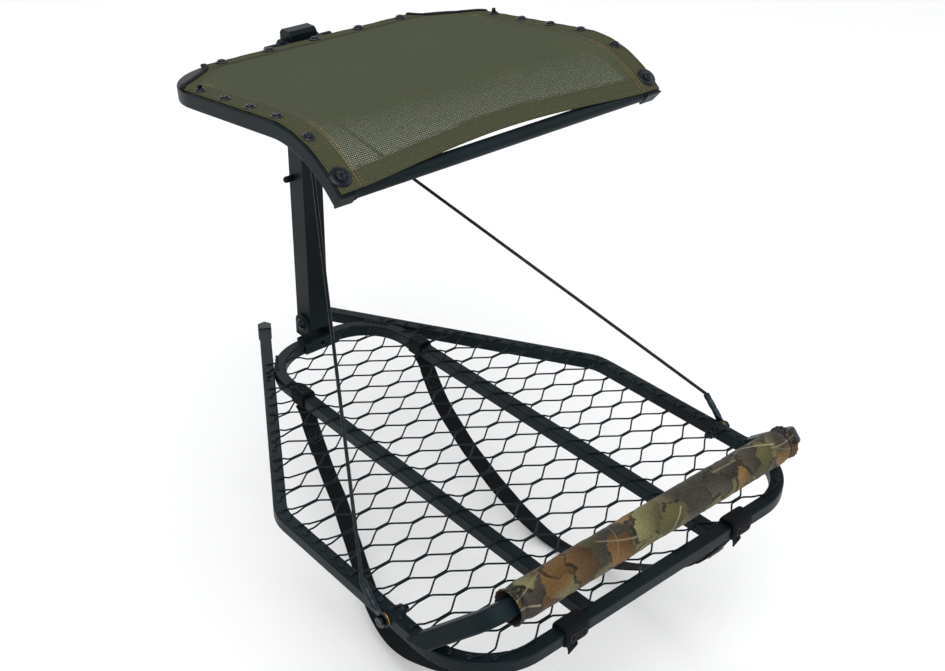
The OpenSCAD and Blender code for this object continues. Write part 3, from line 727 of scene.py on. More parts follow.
def cloth_n(x, s):
    """Height of the cloth's middle above the rails' middle line."""
    n = 11.2
    inner = RAIL_X - 12.0
    if abs(x) < inner:
        span = 1 - (x / inner) ** 2
        depth = min(max((s - 8.0) / 90.0, 0.0), 1.0)
        front = min(max((CLOTH_END - s) / 60.0, 0.35), 1.0)
        n -= 4.2 * span * depth * front
    edge = max(0.0, abs(x) - (RAIL_X + 8.0))
    n -= 0.25 * edge
    for c in SIDE_SCREWS + [LIP_SCREW]:
        d2 = (abs(x) - RAIL_X) ** 2 + (s - c) ** 2
        n -= 0.55 * math.exp(-d2 / 90.0)
        n += 0.35 * math.exp(-((math.sqrt(d2) - 17.0) / 6.0) ** 2)
    for c in REAR_SCREWS:
        n -= 0.55 * math.exp(-((x - c) ** 2 + s ** 2) / 90.0)
    n += 0.30 * noise_at(x * 0.02, s * 0.02, 0.0)
    wander = 2.0 * noise_at(s * 0.02, 0.0, 4.0)
    n += 0.16 * math.sin(x * 0.16 + wander) * math.exp(-max(0.0, s - 4) / 40)
    if abs(x) > 222:
        n += 0.35
    if s > cloth_end(x) - 24:
        n += 0.55
    return n


def make_seat_cloth():
    cols, rows = 150, 150
    half_t = 0.34
    verts, uvs = [], []
    ss = np.linspace(0, 1, rows + 1)
    for side in (1, -1):
        for j in range(rows + 1):
            for i in range(cols + 1):
                t = i / cols * 2 - 1
                s_try = -10.0 + (CLOTH_END + 10.0) * ss[j]
                x = t * cloth_half(s_try)
                s = -10.0 + (cloth_end(x) + 10.0) * ss[j]
                x = t * cloth_half(s)
                verts.append(seat_point(x, s, cloth_n(x, s) + half_t * side))
                uvs.append((x, s))
    n1 = cols + 1
    off = n1 * (rows + 1)
    faces, kinds = [], []

    def hem(i, j):
        x, s = uvs[j * n1 + i]
        near_side = cloth_half(s) - abs(x) < 26
        return near_side or s > cloth_end(x) - 24 or s < 14

    for j in range(rows):
        for i in range(cols):
            a, b, c, d = j * n1 + i, j * n1 + i + 1, (j + 1) * n1 + i + 1, (j + 1) * n1 + i
            kind = 1 if hem(i, j) else 0
            faces.append((a, d, c, b))
            faces.append((a + off, b + off, c + off, d + off))
            kinds += [kind, kind]
    for i in range(cols):
        a, b = i, i + 1
        faces.append((a, b, b + off, a + off))
        a, b = rows * n1 + i, rows * n1 + i + 1
        faces.append((b, a, a + off, b + off))
        kinds += [1, 1]
    for j in range(rows):
        a, b = j * n1, (j + 1) * n1
        faces.append((b, a, a + off, b + off))
        a, b = j * n1 + cols, (j + 1) * n1 + cols
        faces.append((a, b, b + off, a + off))
        kinds += [1, 1]
    cloth = build("seat_cloth", verts, faces, ["seat_mesh", "seat_hem"], "seat", uvs=uvs)
    cloth.data.polygons.foreach_set("material_index", kinds)
    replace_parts(cloth, "seat_fabric")
    return cloth


seat_cloth_obj = make_seat_cloth()


def along(s, run, rows):
    """The row of three numbers at distance s, between the rows at the distances in run."""
    return np.array([np.interp(s, run, rows[:, a]) for a in range(3)])


def stitches(pile, points, normals, length=3.0, space=1.3, r=0.42):
    """A row of short thread stitches lying on the cloth."""
    run = arc_lengths(points)
    p, nn = np.asarray(points, float), np.asarray(normals, float)
    s = space
    while s + length < run[-1]:
        at = [along(s + length * k / 3, run, p) for k in range(4)]
        up = along(s, run, nn)
        lift = (0.0, 0.55, 0.55, 0.0)
        pile.add(*sweep([q + up * (h + 0.1) for q, h in zip(at, lift)], circle(r, 5)))
        s += length + space


def cloth_line(points):
    """Points (x, s) put on the cloth's top side, with the cloth's normal."""
    pos, nor = [], []
    for x, s in points:
        pos.append(seat_point(x, s, cloth_n(x, s) + 0.45))
        nor.append(seat_normal(s))
    return pos, nor


def make_seat_trim():
    gold, dull, black = Pile(), Pile(), Pile()
    for sx in (-1, 1):
        for inset in (27.0, 31.5):
            x = 250 - inset
            for pile, a, b in ((gold, 78, 96), (dull, 98, 298), (gold, 300, cloth_end(x) - 2)):
                line = [(sx * x, s) for s in np.linspace(a, b, 50)]
                stitches(pile, *cloth_line(line), r=0.32)
        line = [(sx * (cloth_half(s) - 4.0), s) for s in np.linspace(74, cloth_end(246) - 2, 60)]
        stitches(dull, *cloth_line(line), r=0.3)
    for inset in (4.0, 20.5, 24.0):
        line = [(x, cloth_end(x) - inset) for x in np.linspace(-246, 246, 120)]
        stitches(dull, *cloth_line(line), r=0.32)
    for at in (13.0, 16.5):
        line = [(x, at) for x in np.linspace(-172, 172, 90)]
        stitches(black, *cloth_line(line), r=0.34)
    gold.made("seat_stitching", "gold_thread", "seat", slot="seat_mesh")
    dull.made("seat_hem_stitching", "olive_thread", "seat", slot="seat_mesh")
    # bound edge round each hollow corner
    edge = Pile()
    for sx in (-1, 1):
        path = []
        for s in np.linspace(-10.5, 74, 46):
            x = sx * (cloth_half(s) - 1.2)
            path.append(seat_point(x, s, cloth_n(x, s)))
        section = [(4.6, 1.6), (3.4, 2.2), (-1.6, 2.3), (-2.8, 0.9), (-2.8, -0.9), (-1.6, -1.5),
                   (3.4, -1.5), (4.6, -1.2)]
        section = [(a * sx, b) for a, b in section]
        if sx < 0:
            section = section[::-1]
        edge.add(*sweep(smooth_path(path, 2.0, 1), section, up=tuple(seat_normal(0.0))))
        line = [(sx * (cloth_half(s) - 4.6), s) for s in np.linspace(-8, 72, 40)]
        pos, nor = cloth_line(line)
        pos = [tuple(Vector(p) + n * 1.8) for p, n in zip(pos, nor)]
        stitches(black, pos, nor, 2.6, 1.2, 0.34)
    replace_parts(edge.made("corner_piping", "webbing", "seat"), "corner_bindings")
    black.made("dark_stitching", "black_thread", "seat", slot="webbing")


make_seat_trim()


# ---------------------------------------------------------------- screws and bolts


def pan_head(pile, washers, at, axis, head_r, head_h, washer_r, washer_t, seed=0):
    """A domed screw head with a cross recess on a slightly cupped washer."""
    washers.add(*spun([(washer_r, 0.0), (washer_r, washer_t * 0.5), (washer_r - 0.7, washer_t * 0.95),
                       (head_r + 0.6, washer_t * 1.15), (head_r - 1.5, washer_t)], at, axis, 32))
    w, u, _ = axes_about(axis)
    spin = Matrix.Rotation(seed * 1.7, 3, w)
    u = spin @ u
    t = w.cross(u)
    o = Vector(at) + w * washer_t
    rings = [(1.0, 0.0), (1.0, 0.28), (0.93, 0.55), (0.80, 0.78), (0.62, 0.92), (0.46, 0.98),
             (0.30, 1.0), (0.14, 1.0)]
    n = 32
    verts = []
    for rr, h in rings:
        for i in range(n):
            a = 2 * math.pi * i / n
            lobe = abs(math.cos(2 * a)) ** 6
            dip = 0.75 * lobe if rr <= 0.46 else (0.25 * lobe if rr <= 0.62 else 0.0)
            if rr <= 0.14:
                dip = 0.8
            out = u * math.cos(a) + t * math.sin(a)
            verts.append(tuple(o + w * head_h * (h - dip * 0.6) + out * head_r * rr))
    pile.add(verts, ring_faces(len(rings), n))


def make_seat_screws():
    heads, light, dark_washers = Pile(), Pile(), Pile()
    n_top = 12.5
    for sx in (-1, 1):
        for k, s in enumerate(SIDE_SCREWS):
            at = seat_point(sx * RAIL_X, s, n_top - 0.4)
            pan_head(heads, light, at, seat_normal(s), 5.6, 2.8, 7.6, 1.2, k + sx)
        at = Vector(seat_point(sx * RAIL_X, LIP_SCREW, n_top - 0.5))
        pan_head(heads, dark_washers, at, seat_normal(LIP_SCREW), 6.2, 3.6, 13.0, 1.9, 9 + sx)
        at = Vector(seat_point(sx * RAIL_X, SIDE_SCREWS[0], n_top + 3.0))
        post = [(3.1, 0.0), (3.1, 4.2), (2.5, 4.9), (1.5, 4.9), (1.5, 3.0)]
        heads.add(*spun(post, at, seat_normal(SIDE_SCREWS[0]), 6))
    for k, x in enumerate(REAR_SCREWS):
        at = seat_point(x, 0.0, n_top - 0.4)
        pan_head(heads, light, at, seat_normal(0.0), 5.6, 2.8, 7.6, 1.2, k + 4)
    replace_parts(heads.made("seat_screw_heads", "black_fastener", "seat"),
                "seat_screws", "rear_post_screws", "lip_screws")
    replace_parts(light.made("seat_screw_washers", "washer", "seat", slot="zinc"), "seat_washers")
    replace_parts(dark_washers.made("lip_screw_washers", "black_fastener", "seat"), "lip_washers")


make_seat_screws()


def hex_bolt(pile, at, axis, across, height):
    """A hex head with a chamfered face."""
    r = across / math.sqrt(3)
    w, u, t = axes_about(axis)
    verts = []
    n = 36
    steps = ((0.0, 1.0), (height * 0.82, 1.0), (height, 0.93), (height, 0.62), (height * 0.97, 0.5))
    for h, cut in steps:
        for i in range(n):
            a = 2 * math.pi * i / n
            hexr = (across / 2) / math.cos((a % (math.pi / 3)) - math.pi / 6)
            if h > height * 0.9:
                hexr = min(hexr, r * cut)
            verts.append(tuple(Vector(at) + w * h + (u * math.cos(a) + t * math.sin(a)) * hexr))
    pile.add(verts, ring_faces(len(steps), n))


def threaded(pile, at, axis, r, length, pitch=1.25):
    prof = [(r, 0.0)]
    h = 0.0
    while h < length - pitch:
        prof += [(r - 0.55, h + pitch * 0.5), (r, h + pitch)]
        h += pitch
    prof.append((r - 0.8, length))
    pile.add(*spun(prof, at, axis, 20))


def make_platform_bolts():
    bolts, nuts, washers, yellow = Pile(), Pile(), Pile(), Pile()
    for sx in (-1, 1):
        y, z = SIDE_BOLT
        hex_bolt(bolts, (sx * 306.0, y, z), (sx, 0, 0), 13.0, 5.3)
        threaded(bolts, (sx * 283.0, y, z), (-sx, 0, 0), 4.0, 14.0)
        hex_bolt(nuts, (sx * 281.2, y, z), (-sx, 0, 0), 13.0, 6.6)
        for x0 in (301.0, 281.4):
            washers.add(*spun([(8.5, 0.0), (8.5, 1.4), (7.9, 1.6), (4.2, 1.6)],
                              (sx * x0, y, z), (sx, 0, 0), 30))
        yellow.add(*spun([(8.8, -1.0), (8.8, 0.2), (4.2, 0.3)], (sx * 302.5, y, z), (sx, 0, 0), 24))
    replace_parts(bolts.made("stay_bolts", "black_fastener", "platform", slot="zinc"), "cable_bolts")
    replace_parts(nuts.made("stay_bolt_nuts", "black_fastener", "platform", slot="zinc"),
                "cable_bolt_nuts")
    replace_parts(washers.made("stay_bolt_washers", "black_fastener", "platform", slot="zinc"),
                "cable_bolt_washers")
    yellow.made("stay_bolt_bushes", "zinc_yellow", "platform", slot="zinc")
    # hinge bolt: button head with a hex socket, nut at the other end
    head = Pile()
    ear = 21.8  # outer face of the bracket ears
    button = [(10.0, 0.0), (10.0, 1.0), (9.2, 1.6), (7.4, 1.6), (7.4, 2.2), (7.2, 3.4), (6.2, 4.9),
              (4.6, 5.6), (3.0, 5.7), (2.7, 5.2), (2.6, 3.2)]
    head.add(*spun(button, (-ear, HINGE_Y, 0), (-1, 0, 0), 36))
    head.add(*spun([(4.98, 0.0), (4.98, 2 * ear)], (-ear, HINGE_Y, 0), (1, 0, 0), 24))
    threaded(head, (ear + 8.2, HINGE_Y, 0), (1, 0, 0), 4.9, 2.2)
    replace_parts(head.made("fold_bolt", "black_fastener", "platform"), "hinge_bolt")
    nut = Pile()
    nut.add(*spun([(10.0, 0.0), (10.0, 1.0), (9.3, 1.6), (5.0, 1.6)], (ear, HINGE_Y, 0), (1, 0, 0), 32))
    hex_bolt(nut, (ear + 1.6, HINGE_Y, 0), (1, 0, 0), 16.0, 7.0)
    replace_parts(nut.made("fold_nut", "black_fastener", "platform"), "hinge_nut")


make_platform_bolts()


# ---------------------------------------------------------------- stay cables

SIDE_TOP, TOP_BOLT = (-548.0, 3.0), (-26.0, 366.0)
CABLE_SIDE_X, CABLE_TOP_X = 306.5, 25.0
CABLE_R, LOW_LENGTH, HIGH_LENGTH = 2.35, 51.6, 48.0


def ease(s, a, b):
    t = min(max((s - a) / (b - a), 0.0), 1.0)
    return t * t * (3 - 2 * t)


def terminal(eye, towards, eye_x, sleeve_x, length):
    """A swaged end: a flat round eye that grows into a crimped sleeve."""
    d = (Vector((0, towards[0], towards[1])) - Vector((0, eye[0], eye[1]))).normalized()
    across = Vector((0, -d.z, d.y))
    verts = []
    stations = [-9.0, -8.8, -8.2, -7.2, -5.8, -4.0, -2.0, 0.0, 2.5, 5.0, 7.5, 10.0, 12.5, 15.0,
                17.0, 19.0, 20.5]
    s = 22.0
    while s < length - 1.0:
        stations.append(s)
        s += 0.8
    stations += [length - 0.6, length]
    n = 28
    for s in stations:
        disc = math.sqrt(max(0.3, 81.0 - s * s)) if s < 5 else 7.48
        grow = ease(s, 5.0, 16.5)
        half_w = disc * (1 - grow) + 4.5 * grow
        swell = ease(s, 9.0, 19.5)
        half_t = 1.25 * (1 - swell) + 4.5 * swell
        if s < -8:
            half_t *= 0.75
        crimp = 0.0
        if s > 23 and s < length - 5:
            crimp = 0.42 * max(0.0, math.sin((s - 23) / 7.4 * math.pi)) ** 3
        if s > length - 1.0:
            crimp = 0.7
        half_w -= crimp
        half_t -= crimp
        x = eye_x + (sleeve_x - eye_x) * ease(s, 6.0, 19.0)
        c = Vector((x, eye[0], eye[1])) + d * s
        power = 2.0 + 4.0 * (1 - swell)
        for i in range(n):
            a = 2 * math.pi * i / n
            ca, sa = math.cos(a), math.sin(a)
            k = (abs(ca) ** power + abs(sa) ** power) ** (-1 / power)
            verts.append(tuple(c + across * half_w * k * ca + Vector((1, 0, 0)) * half_t * k * sa))
    return verts, ring_faces(len(stations), n)


def mirrored(verts, faces, sx):
    if sx > 0:
        return verts, faces
    return [(-v[0], v[1], v[2]) for v in verts], [tuple(reversed(f)) for f in faces]


def make_cables():
    run = math.hypot(SIDE_TOP[0] - TOP_BOLT[0], SIDE_TOP[1] - TOP_BOLT[1])
    u = ((SIDE_TOP[0] - TOP_BOLT[0]) / run, (SIDE_TOP[1] - TOP_BOLT[1]) / run)
    top_end = Vector((CABLE_TOP_X, TOP_BOLT[0] + u[0] * HIGH_LENGTH, TOP_BOLT[1] + u[1] * HIGH_LENGTH))
    side_end = Vector((CABLE_SIDE_X, SIDE_TOP[0], SIDE_TOP[1]))
    d = (side_end - top_end).normalized()
    for sx, side in ((-1, "left"), (1, "right")):
        a, b = side_end + d * 6, top_end - d * 6
        length = (b - a).length
        count = int(length / 4.0)
        path = []
        for k in range(count + 1):
            p = a + (b - a) * k / count
            path.append((sx * p.x, p.y, p.z))
        lower, upper = "cable_lower_" + side[0], "cable_upper_" + side[0]
        verts, faces, uvs = sweep(path, circle(CABLE_R, 14))
        made = build("stay_cable_" + side, verts, faces, "cable_coat", None, uvs=uvs)
        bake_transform(made)
        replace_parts(made, "cable_lower_" + side, "cable_upper_" + side)
        end = mirrored(*terminal(SIDE_BOLT, SIDE_TOP, 304.15, CABLE_SIDE_X, LOW_LENGTH), sx)
        low = build("stay_end_low_" + side, *end, "terminal", lower)
        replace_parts(low, "terminal_lower_" + side)
        end = mirrored(*terminal(TOP_BOLT, SIDE_TOP, 21.05, CABLE_TOP_X, HIGH_LENGTH), sx)
        high = build("stay_end_high_" + side, *end, "terminal", upper)
        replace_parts(high, "terminal_upper_" + side)
        pile = Pile()
        washer = [(8.0, 0.0), (8.0, 0.8), (7.6, 1.0), (3.0, 1.0)]
        pile.add(*spun(washer, (sx * 22.3, *TOP_BOLT), (sx, 0, 0), 28))
        hex_bolt(pile, (sx * 23.2, *TOP_BOLT), (sx, 0, 0), 11.0, 3.1)
        pile.add(*spun([(3.9, 0.0), (3.9, 2.6)], (sx * 19.75, *TOP_BOLT), (sx, 0, 0), 20))
        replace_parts(pile.made("stay_top_bolt_" + side, "black_fastener", upper, slot="zinc"),
                    "top_bolt_" + side)


make_cables()

# ---------------------------------------------------------------- shoulder straps

STRAP_LEFT = [
    (113, -164, -64), (114, -185, -101), (117, -215, -137), (123, -250, -168),
    (134, -290, -200), (147, -330, -226), (160, -370, -246), (171, -410, -255),
    (178, -450, -252), (182, -490, -241), (183, -530, -222), (180, -570, -202),
    (172, -608, -180), (161, -640, -158), (149, -668, -132), (141, -690, -104),
    (139, -706, -78), (142, -717, -60),
]
STRAP_RIGHT = [
    (113, -164, -64), (114, -185, -101), (117, -215, -137), (122, -250, -169),
    (130, -290, -203), (138, -330, -233), (146, -370, -257), (152, -410, -271),
    (157, -450, -272), (160, -490, -263), (162, -530, -246), (162, -570, -224),
    (160, -608, -198), (156, -640, -170), (151, -668, -143), (147, -690, -118),
    (145, -708, -92), (146, -722, -62),
]

WRAP_Y, WRAP_X = -147.0, 147.0  # rear wraps along the legs, front wraps along the front tube


def ribbon(path, across, width, thick, twist=None, taper=None, cup=0.4):
    """Flat webbing along a path: rounded selvedges, slightly cupped, uv across and along."""
    p = np.asarray(path, float)
    run = arc_lengths(p)
    t = np.gradient(p, axis=0)
    t /= np.linalg.norm(t, axis=1)[:, None] + 1e-12
    m = 9
    cols = [i / (m - 1) * 2 - 1 for i in range(m)]
    verts, uvs = [], []
    ring = 2 * m
    for i in range(len(p)):
        ti = Vector(t[i])
        side = Vector(across)
        side = (side - ti * side.dot(ti)).normalized()
        if twist is not None:
            side = Matrix.Rotation(twist[i], 3, ti) @ side
        nor = side.cross(ti)
        w = width / 2 * (1.0 if taper is None else taper[i])
        for top in (1, -1):
            for c in (cols if top > 0 else cols[::-1]):
                h = thick / 2 * (0.55 if abs(c) > 0.99 else 1.0) * top
                bow = cup * (1 - c * c)
                q = Vector(p[i]) + side * c * w + nor * (h + bow)
                verts.append(tuple(q))
                uvs.append((c * w + width / 2, run[i]))
    faces = []
    for i in range(0, (len(p) - 1) * ring, ring):
        faces += [(i + j, i + ring + j, i + ring + (j + 1) % ring, i + (j + 1) % ring)
                  for j in range(ring)]
    last = (len(p) - 1) * ring
    faces += [tuple(range(ring)), tuple(range(last + ring - 1, last - 1, -1))]
    return verts, faces, uvs


def box_stitch(pile, origin, u, v, half_u, half_v, lift):
    """A sewn box with a cross in it."""
    o, u, v = Vector(origin), Vector(u).normalized(), Vector(v).normalized()
    n = u.cross(v)
    corners = [(-1, -1), (1, -1), (1, 1), (-1, 1), (-1, -1), (1, 1), (1, -1), (-1, 1)]
    for (a, b), (c, d) in zip(corners[:-1], corners[1:]):
        line = [tuple(o + n * lift + u * (a + (c - a) * k / 8) * half_u
                      + v * (b + (d - b) * k / 8) * half_v) for k in range(9)]
        stitches(pile, line, [tuple(n)] * 9, 2.4, 1.0, 0.3)


def loop_round(cx, half_w, z0, z1, corner):
    """A rounded loop about a tube, starting and ending under it."""
    pts = [(cx, z0), (cx + half_w, z0), (cx + half_w, z1), (cx - half_w, z1), (cx - half_w, z0),
           (cx, z0)]
    out = []
    for i, (a, b) in enumerate(pts):
        if i in (0, len(pts) - 1):
            out.append((a, b))
            continue
        for other in (pts[i - 1], pts[i + 1]):
            dx, dz = other[0] - a, other[1] - b
            ln = math.hypot(dx, dz)
            out.append((a + dx / ln * corner, b + dz / ln * corner))
    return out


def make_straps():
    for sx, side in ((-1, "left"), (1, "right")):
        route = STRAP_RIGHT if sx > 0 else STRAP_LEFT
        path = smooth_path([(sx * x, y, z) for x, y, z in route], 3.0, 3)
        run = arc_lengths(path)
        twist = [sx * (0.10 * math.sin(s / 95.0) + 0.05 * math.sin(s / 31.0)) for s in run]
        wob = [noise_at(s * 0.02, sx, 0.5) * 1.3 for s in run]
        path = [(p[0] + w, p[1], p[2]) for p, w in zip(path, wob)]
        pile = Pile()
        pile.add(*ribbon(path, (1, 0, 0), 26.5, 2.4, twist))
        k = len(path)
        # doubled and sewn back at both ends
        for part in (path[:18], path[k - 22:]):
            lifted = []
            t = np.gradient(np.asarray(part), axis=0)
            for p, d in zip(part, t):
                d = Vector(d).normalized()
                nor = Vector((1, 0, 0)).cross(d).normalized()
                lifted.append(tuple(Vector(p) + nor * 2.2))
            pile.add(*ribbon(lifted, (1, 0, 0), 26.0, 2.0, [twist[0]] * len(lifted)))
        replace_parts(pile.made("shoulder_strap_" + side, "webbing", "platform"), "strap_" + side)
        thread_pile = Pile()
        for at in (8, k - 12):
            p, q = Vector(path[at - 1]), Vector(path[at + 1])
            d = (q - p).normalized()
            nor = Vector((1, 0, 0)).cross(d).normalized()
            for face in (1, -1):
                o = Vector(path[at]) + nor * (2.2 if face > 0 else 0.0) + nor * face * 1.5
                box_stitch(thread_pile, o, (face, 0, 0), tuple(d), 9.5, 9.5, 0.1)
        thread_pile.made("strap_thread_" + side, "black_thread", "platform", slot="webbing")
    rear, front, tabs, thread_pile = Pile(), Pile(), Pile(), Pile()
    for sx in (-1, 1):
        loop = loop_round(sx * LEG_X, 10.8, PLATE_Z - 10.9, -18.9, 3.0)
        path = smooth_path([(a, WRAP_Y, b) for a, b in loop], 2.0, 1)
        rear.add(*ribbon(path, (0, 1, 0), 29.0, 2.3, cup=0.0))
        loop = loop_round(FRONT_Y, 10.8, PLATE_Z - 10.9, -18.9, 3.0)
        path = smooth_path([(sx * WRAP_X, a, b) for a, b in loop], 2.0, 1)
        front.add(*ribbon(path, (1, 0, 0), 37.0, 2.4, cup=0.0))
        path2 = [(p[0], p[1] + (p[1] - FRONT_Y) * 0.10, p[2] + (p[2] - PLATE_Z) * 0.10) for p in path]
        front.add(*ribbon([p for p in path2 if p[1] < FRONT_Y - 1], (1, 0, 0), 33.0, 2.0, cup=0.0))
        # loose pointed tail that sticks out under the front tube
        tail = smooth_path([(sx * WRAP_X, FRONT_Y + 4, -46.0), (WRAP_X * sx - 5, FRONT_Y - 7, -48.0),
                            (WRAP_X * sx - 8, FRONT_Y - 10, -52.0),
                            (WRAP_X * sx - 11, FRONT_Y - 10, -58.0)], 1.6, 2)
        m = len(tail)
        taper = [1.0 if i < m - 9 else max(0.06, (m - 1 - i) / 9.0) for i in range(m)]
        front.add(*ribbon(tail, (0.92, 0.0, -0.4), 24.0, 1.8, taper=taper, cup=0.6))
        box_stitch(thread_pile, (sx * WRAP_X, FRONT_Y - 12.9, PLATE_Z), (sx, 0, 0), (0, 0, sx),
                   12.0, 6.0, 0.2)
        box_stitch(thread_pile, (sx * LEG_X, WRAP_Y, -17.6), (1, 0, 0), (0, 1, 0), 7.5, 11.0, 0.2)
        first = STRAP_LEFT[0]
        a = Vector((sx * first[0], first[1], first[2]))
        tab = smooth_path([(sx * LEG_X, -146.0, -44.6), (sx * 111.8, -152.5, -47.5),
                           (sx * 112.4, -160.0, -56.0), tuple(a + Vector((0, -1.5, -2.5)))], 2.0, 2)
        tabs.add(*ribbon(tab, (1, 0, 0), 26.0, 2.6, cup=0.2))
        last = (STRAP_RIGHT if sx > 0 else STRAP_LEFT)[-1]
        b = Vector((sx * last[0], last[1], last[2]))
        tab = smooth_path([tuple(b + Vector((-0.4 * sx, 1.8, -3.0))), (sx * 145.5, -724.0, -53.0),
                           (sx * 146.5, -727.0, -47.5), (sx * WRAP_X, -731.0, -44.8)], 2.0, 2)
        tabs.add(*ribbon(tab, (1, 0, 0), 26.0, 2.6, cup=0.2))
    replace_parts(rear.made("rear_webbing_loops", "webbing", "platform"), "rear_wraps")
    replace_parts(front.made("front_webbing_loops", "webbing", "platform"), "front_wraps")
    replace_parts(tabs.made("strap_tabs", "webbing", "platform"), "strap_keepers")
    thread_pile.made("webbing_thread", "black_thread", "platform", slot="webbing")


make_straps()

# ---------------------------------------------------------------- padded sleeve

SLEEVE_Y, SLEEVE_Z, SLEEVE_R, SLEEVE_HALF = -722.0, 48.0, 21.3, 240.0


def sleeve_profile():
    """(x, r, place) from inside one mouth, over the sleeve, into the other."""
    # distance from the mouth and share of the sleeve's radius
    outside = [(0, 1.0), (1.2, 1.03), (3.2, 1.0), (6.0, 0.95), (9.0, 0.885), (11.0, 0.86),
               (13.0, 0.875), (16.5, 0.95), (21.0, 1.01), (27.0, 1.03), (36.0, 1.01), (48.0, 1.0)]
    inside = [(0.3, 0.95), (3, 0.90), (8, 0.81), (13, 0.79), (22, 0.84), (26, 0.60)]
    outer = [(SLEEVE_HALF - x, r * SLEEVE_R) for x, r in outside]
    inner = [(SLEEVE_HALF - x, SLEEVE_R * r) for x, r in inside]
    right = [(x, r, 2) for x, r in inner[::-1]] + [(x, r, 0) for x, r in outer]
    n = 320
    body = [(SLEEVE_HALF - 48 - (2 * SLEEVE_HALF - 96) * k / n, SLEEVE_R, 0) for k in range(1, n)]
    dense = []
    for a, b in zip(right[:-1], right[1:]):
        steps = max(1, int(abs(a[0] - b[0]) / 1.3))
        for k in range(steps):
            t = k / steps
            dense.append((a[0] + (b[0] - a[0]) * t, a[1] + (b[1] - a[1]) * t, a[2]))
    dense.append(right[-1])
    return dense + body + [(-x, r, place) for x, r, place in dense[::-1]]


def print_colours(us, vs):
    """Generic woodland print: sandy cloth, bark, leaves and twigs, all drawn from seeded shapes."""
    rng = random.Random(29)
    n = len(us)
    col = np.zeros((n, 3))

    def field(ku, kv, seed):
        return np.array([noise_at(u * ku, v * kv, seed) for u, v in zip(us, vs)])

    def tone(r, g, b):
        return np.array(rgb(r, g, b)[:3])

    def lay(mask, paint):
        m = np.clip(mask, 0, 1)[:, None]
        col[:] = col * (1 - m) + paint * m

    low, mid, fine = field(0.011, 0.014, 1.0), field(0.03, 0.04, 7.0), field(0.4, 0.4, 3.0)
    streak, lace = field(0.09, 0.42, 9.0), field(0.12, 0.30, 15.0)
    cloud = (1 + 0.30 * mid + 0.16 * fine)[:, None]
    col[:] = tone(106, 102, 74) * cloud
    lay((low - 0.04) * 6, tone(108, 82, 50) * cloud)
    lay((-low - 0.10) * 8, tone(62, 58, 52) * (1 + 0.45 * streak)[:, None])
    bark = np.clip((field(0.012, 0.012, 5.0) - 0.16) * 9, 0, 1)
    lay(bark, tone(50, 46, 40) * (1 + 0.5 * streak)[:, None])
    lay(bark * np.clip(1 - np.abs(lace) / 0.07, 0, 1) * 0.8, tone(150, 144, 122)[None, :])
    around = 2 * math.pi * SLEEVE_R

    def local(u0, v0, angle):
        du = us - u0
        dv = (vs - v0 + around / 2) % around - around / 2
        c, s = math.cos(angle), math.sin(angle)
        return du * c + dv * s, -du * s + dv * c

    browns = [tone(102, 76, 46), tone(120, 92, 58), tone(88, 66, 42)]
    others = [tone(66, 62, 56), tone(54, 50, 46), tone(112, 110, 76), tone(84, 82, 52)]
    for k in range(30):
        u0 = -240 + 480 * ((k * 0.618) % 1.0)
        v0, ang = rng.uniform(0, around), rng.uniform(0, math.pi)
        length, width = rng.uniform(22, 46), rng.uniform(12, 21)
        shade = rng.choice(browns if rng.random() < 0.12 + 0.7 * abs(u0) / 240 else others)
        lobes, phase, bend = rng.uniform(0.10, 0.24), rng.uniform(0, 6), rng.uniform(-0.008, 0.008)

        def leaf(a, b, grow=1.0):
            edge = width * grow * np.clip(1 - (a / (length * grow)) ** 2, 0, 1) ** 0.6
            edge = edge * (1 + lobes * np.sin(a * 0.30 + phase) + 0.06 * np.sin(a * 0.8 + phase * 2))
            return np.clip((edge - np.abs(b - bend * a * a)) * 0.9, 0, 1)

        a, b = local(u0, v0, ang)
        lay(leaf(a - 2.5, b - 3.0, 1.05) * 0.8, tone(30, 26, 22)[None, :])
        spine = b - bend * a * a
        vein = np.clip(1 - np.abs(spine) / 0.8, 0, 1) * 0.5
        vein += 0.22 * np.clip(1 - np.abs((np.abs(spine) * 1.2 + a) % 9.0 - 4.5) / 0.8, 0, 1)
        light = 1 + 0.45 * np.clip(spine / width, -1, 1) + 0.35 * mid + 0.2 * fine
        paint = shade[None, :] * light[:, None]
        paint = paint * (1 - vein[:, None]) + shade[None, :] * 1.35 * vein[:, None]
        lay(leaf(a, b), paint)
    for _ in range(26):
        a, b = local(rng.uniform(-240, 240), rng.uniform(0, around), rng.uniform(-1.2, 1.2))
        half, width, bow = rng.uniform(14, 46), rng.uniform(0.5, 1.2), rng.uniform(-0.006, 0.006)
        shade = rng.choice([tone(172, 164, 140), tone(140, 130, 104), tone(36, 32, 28)])
        off = b - bow * a * a
        light = (1 + 0.4 * np.clip(off / width, -1, 1))[:, None]
        lay((width - np.abs(off)) * 1.5 * (np.abs(a) < half), shade * light)
    return np.clip(col * (1 + 0.10 * fine)[:, None], 0.0, 1.0)


def mouth_wave(x, a):
    return math.sin(a * 17 + 1.3 * math.sin(a * 3 + (2 if x > 0 else 0)))


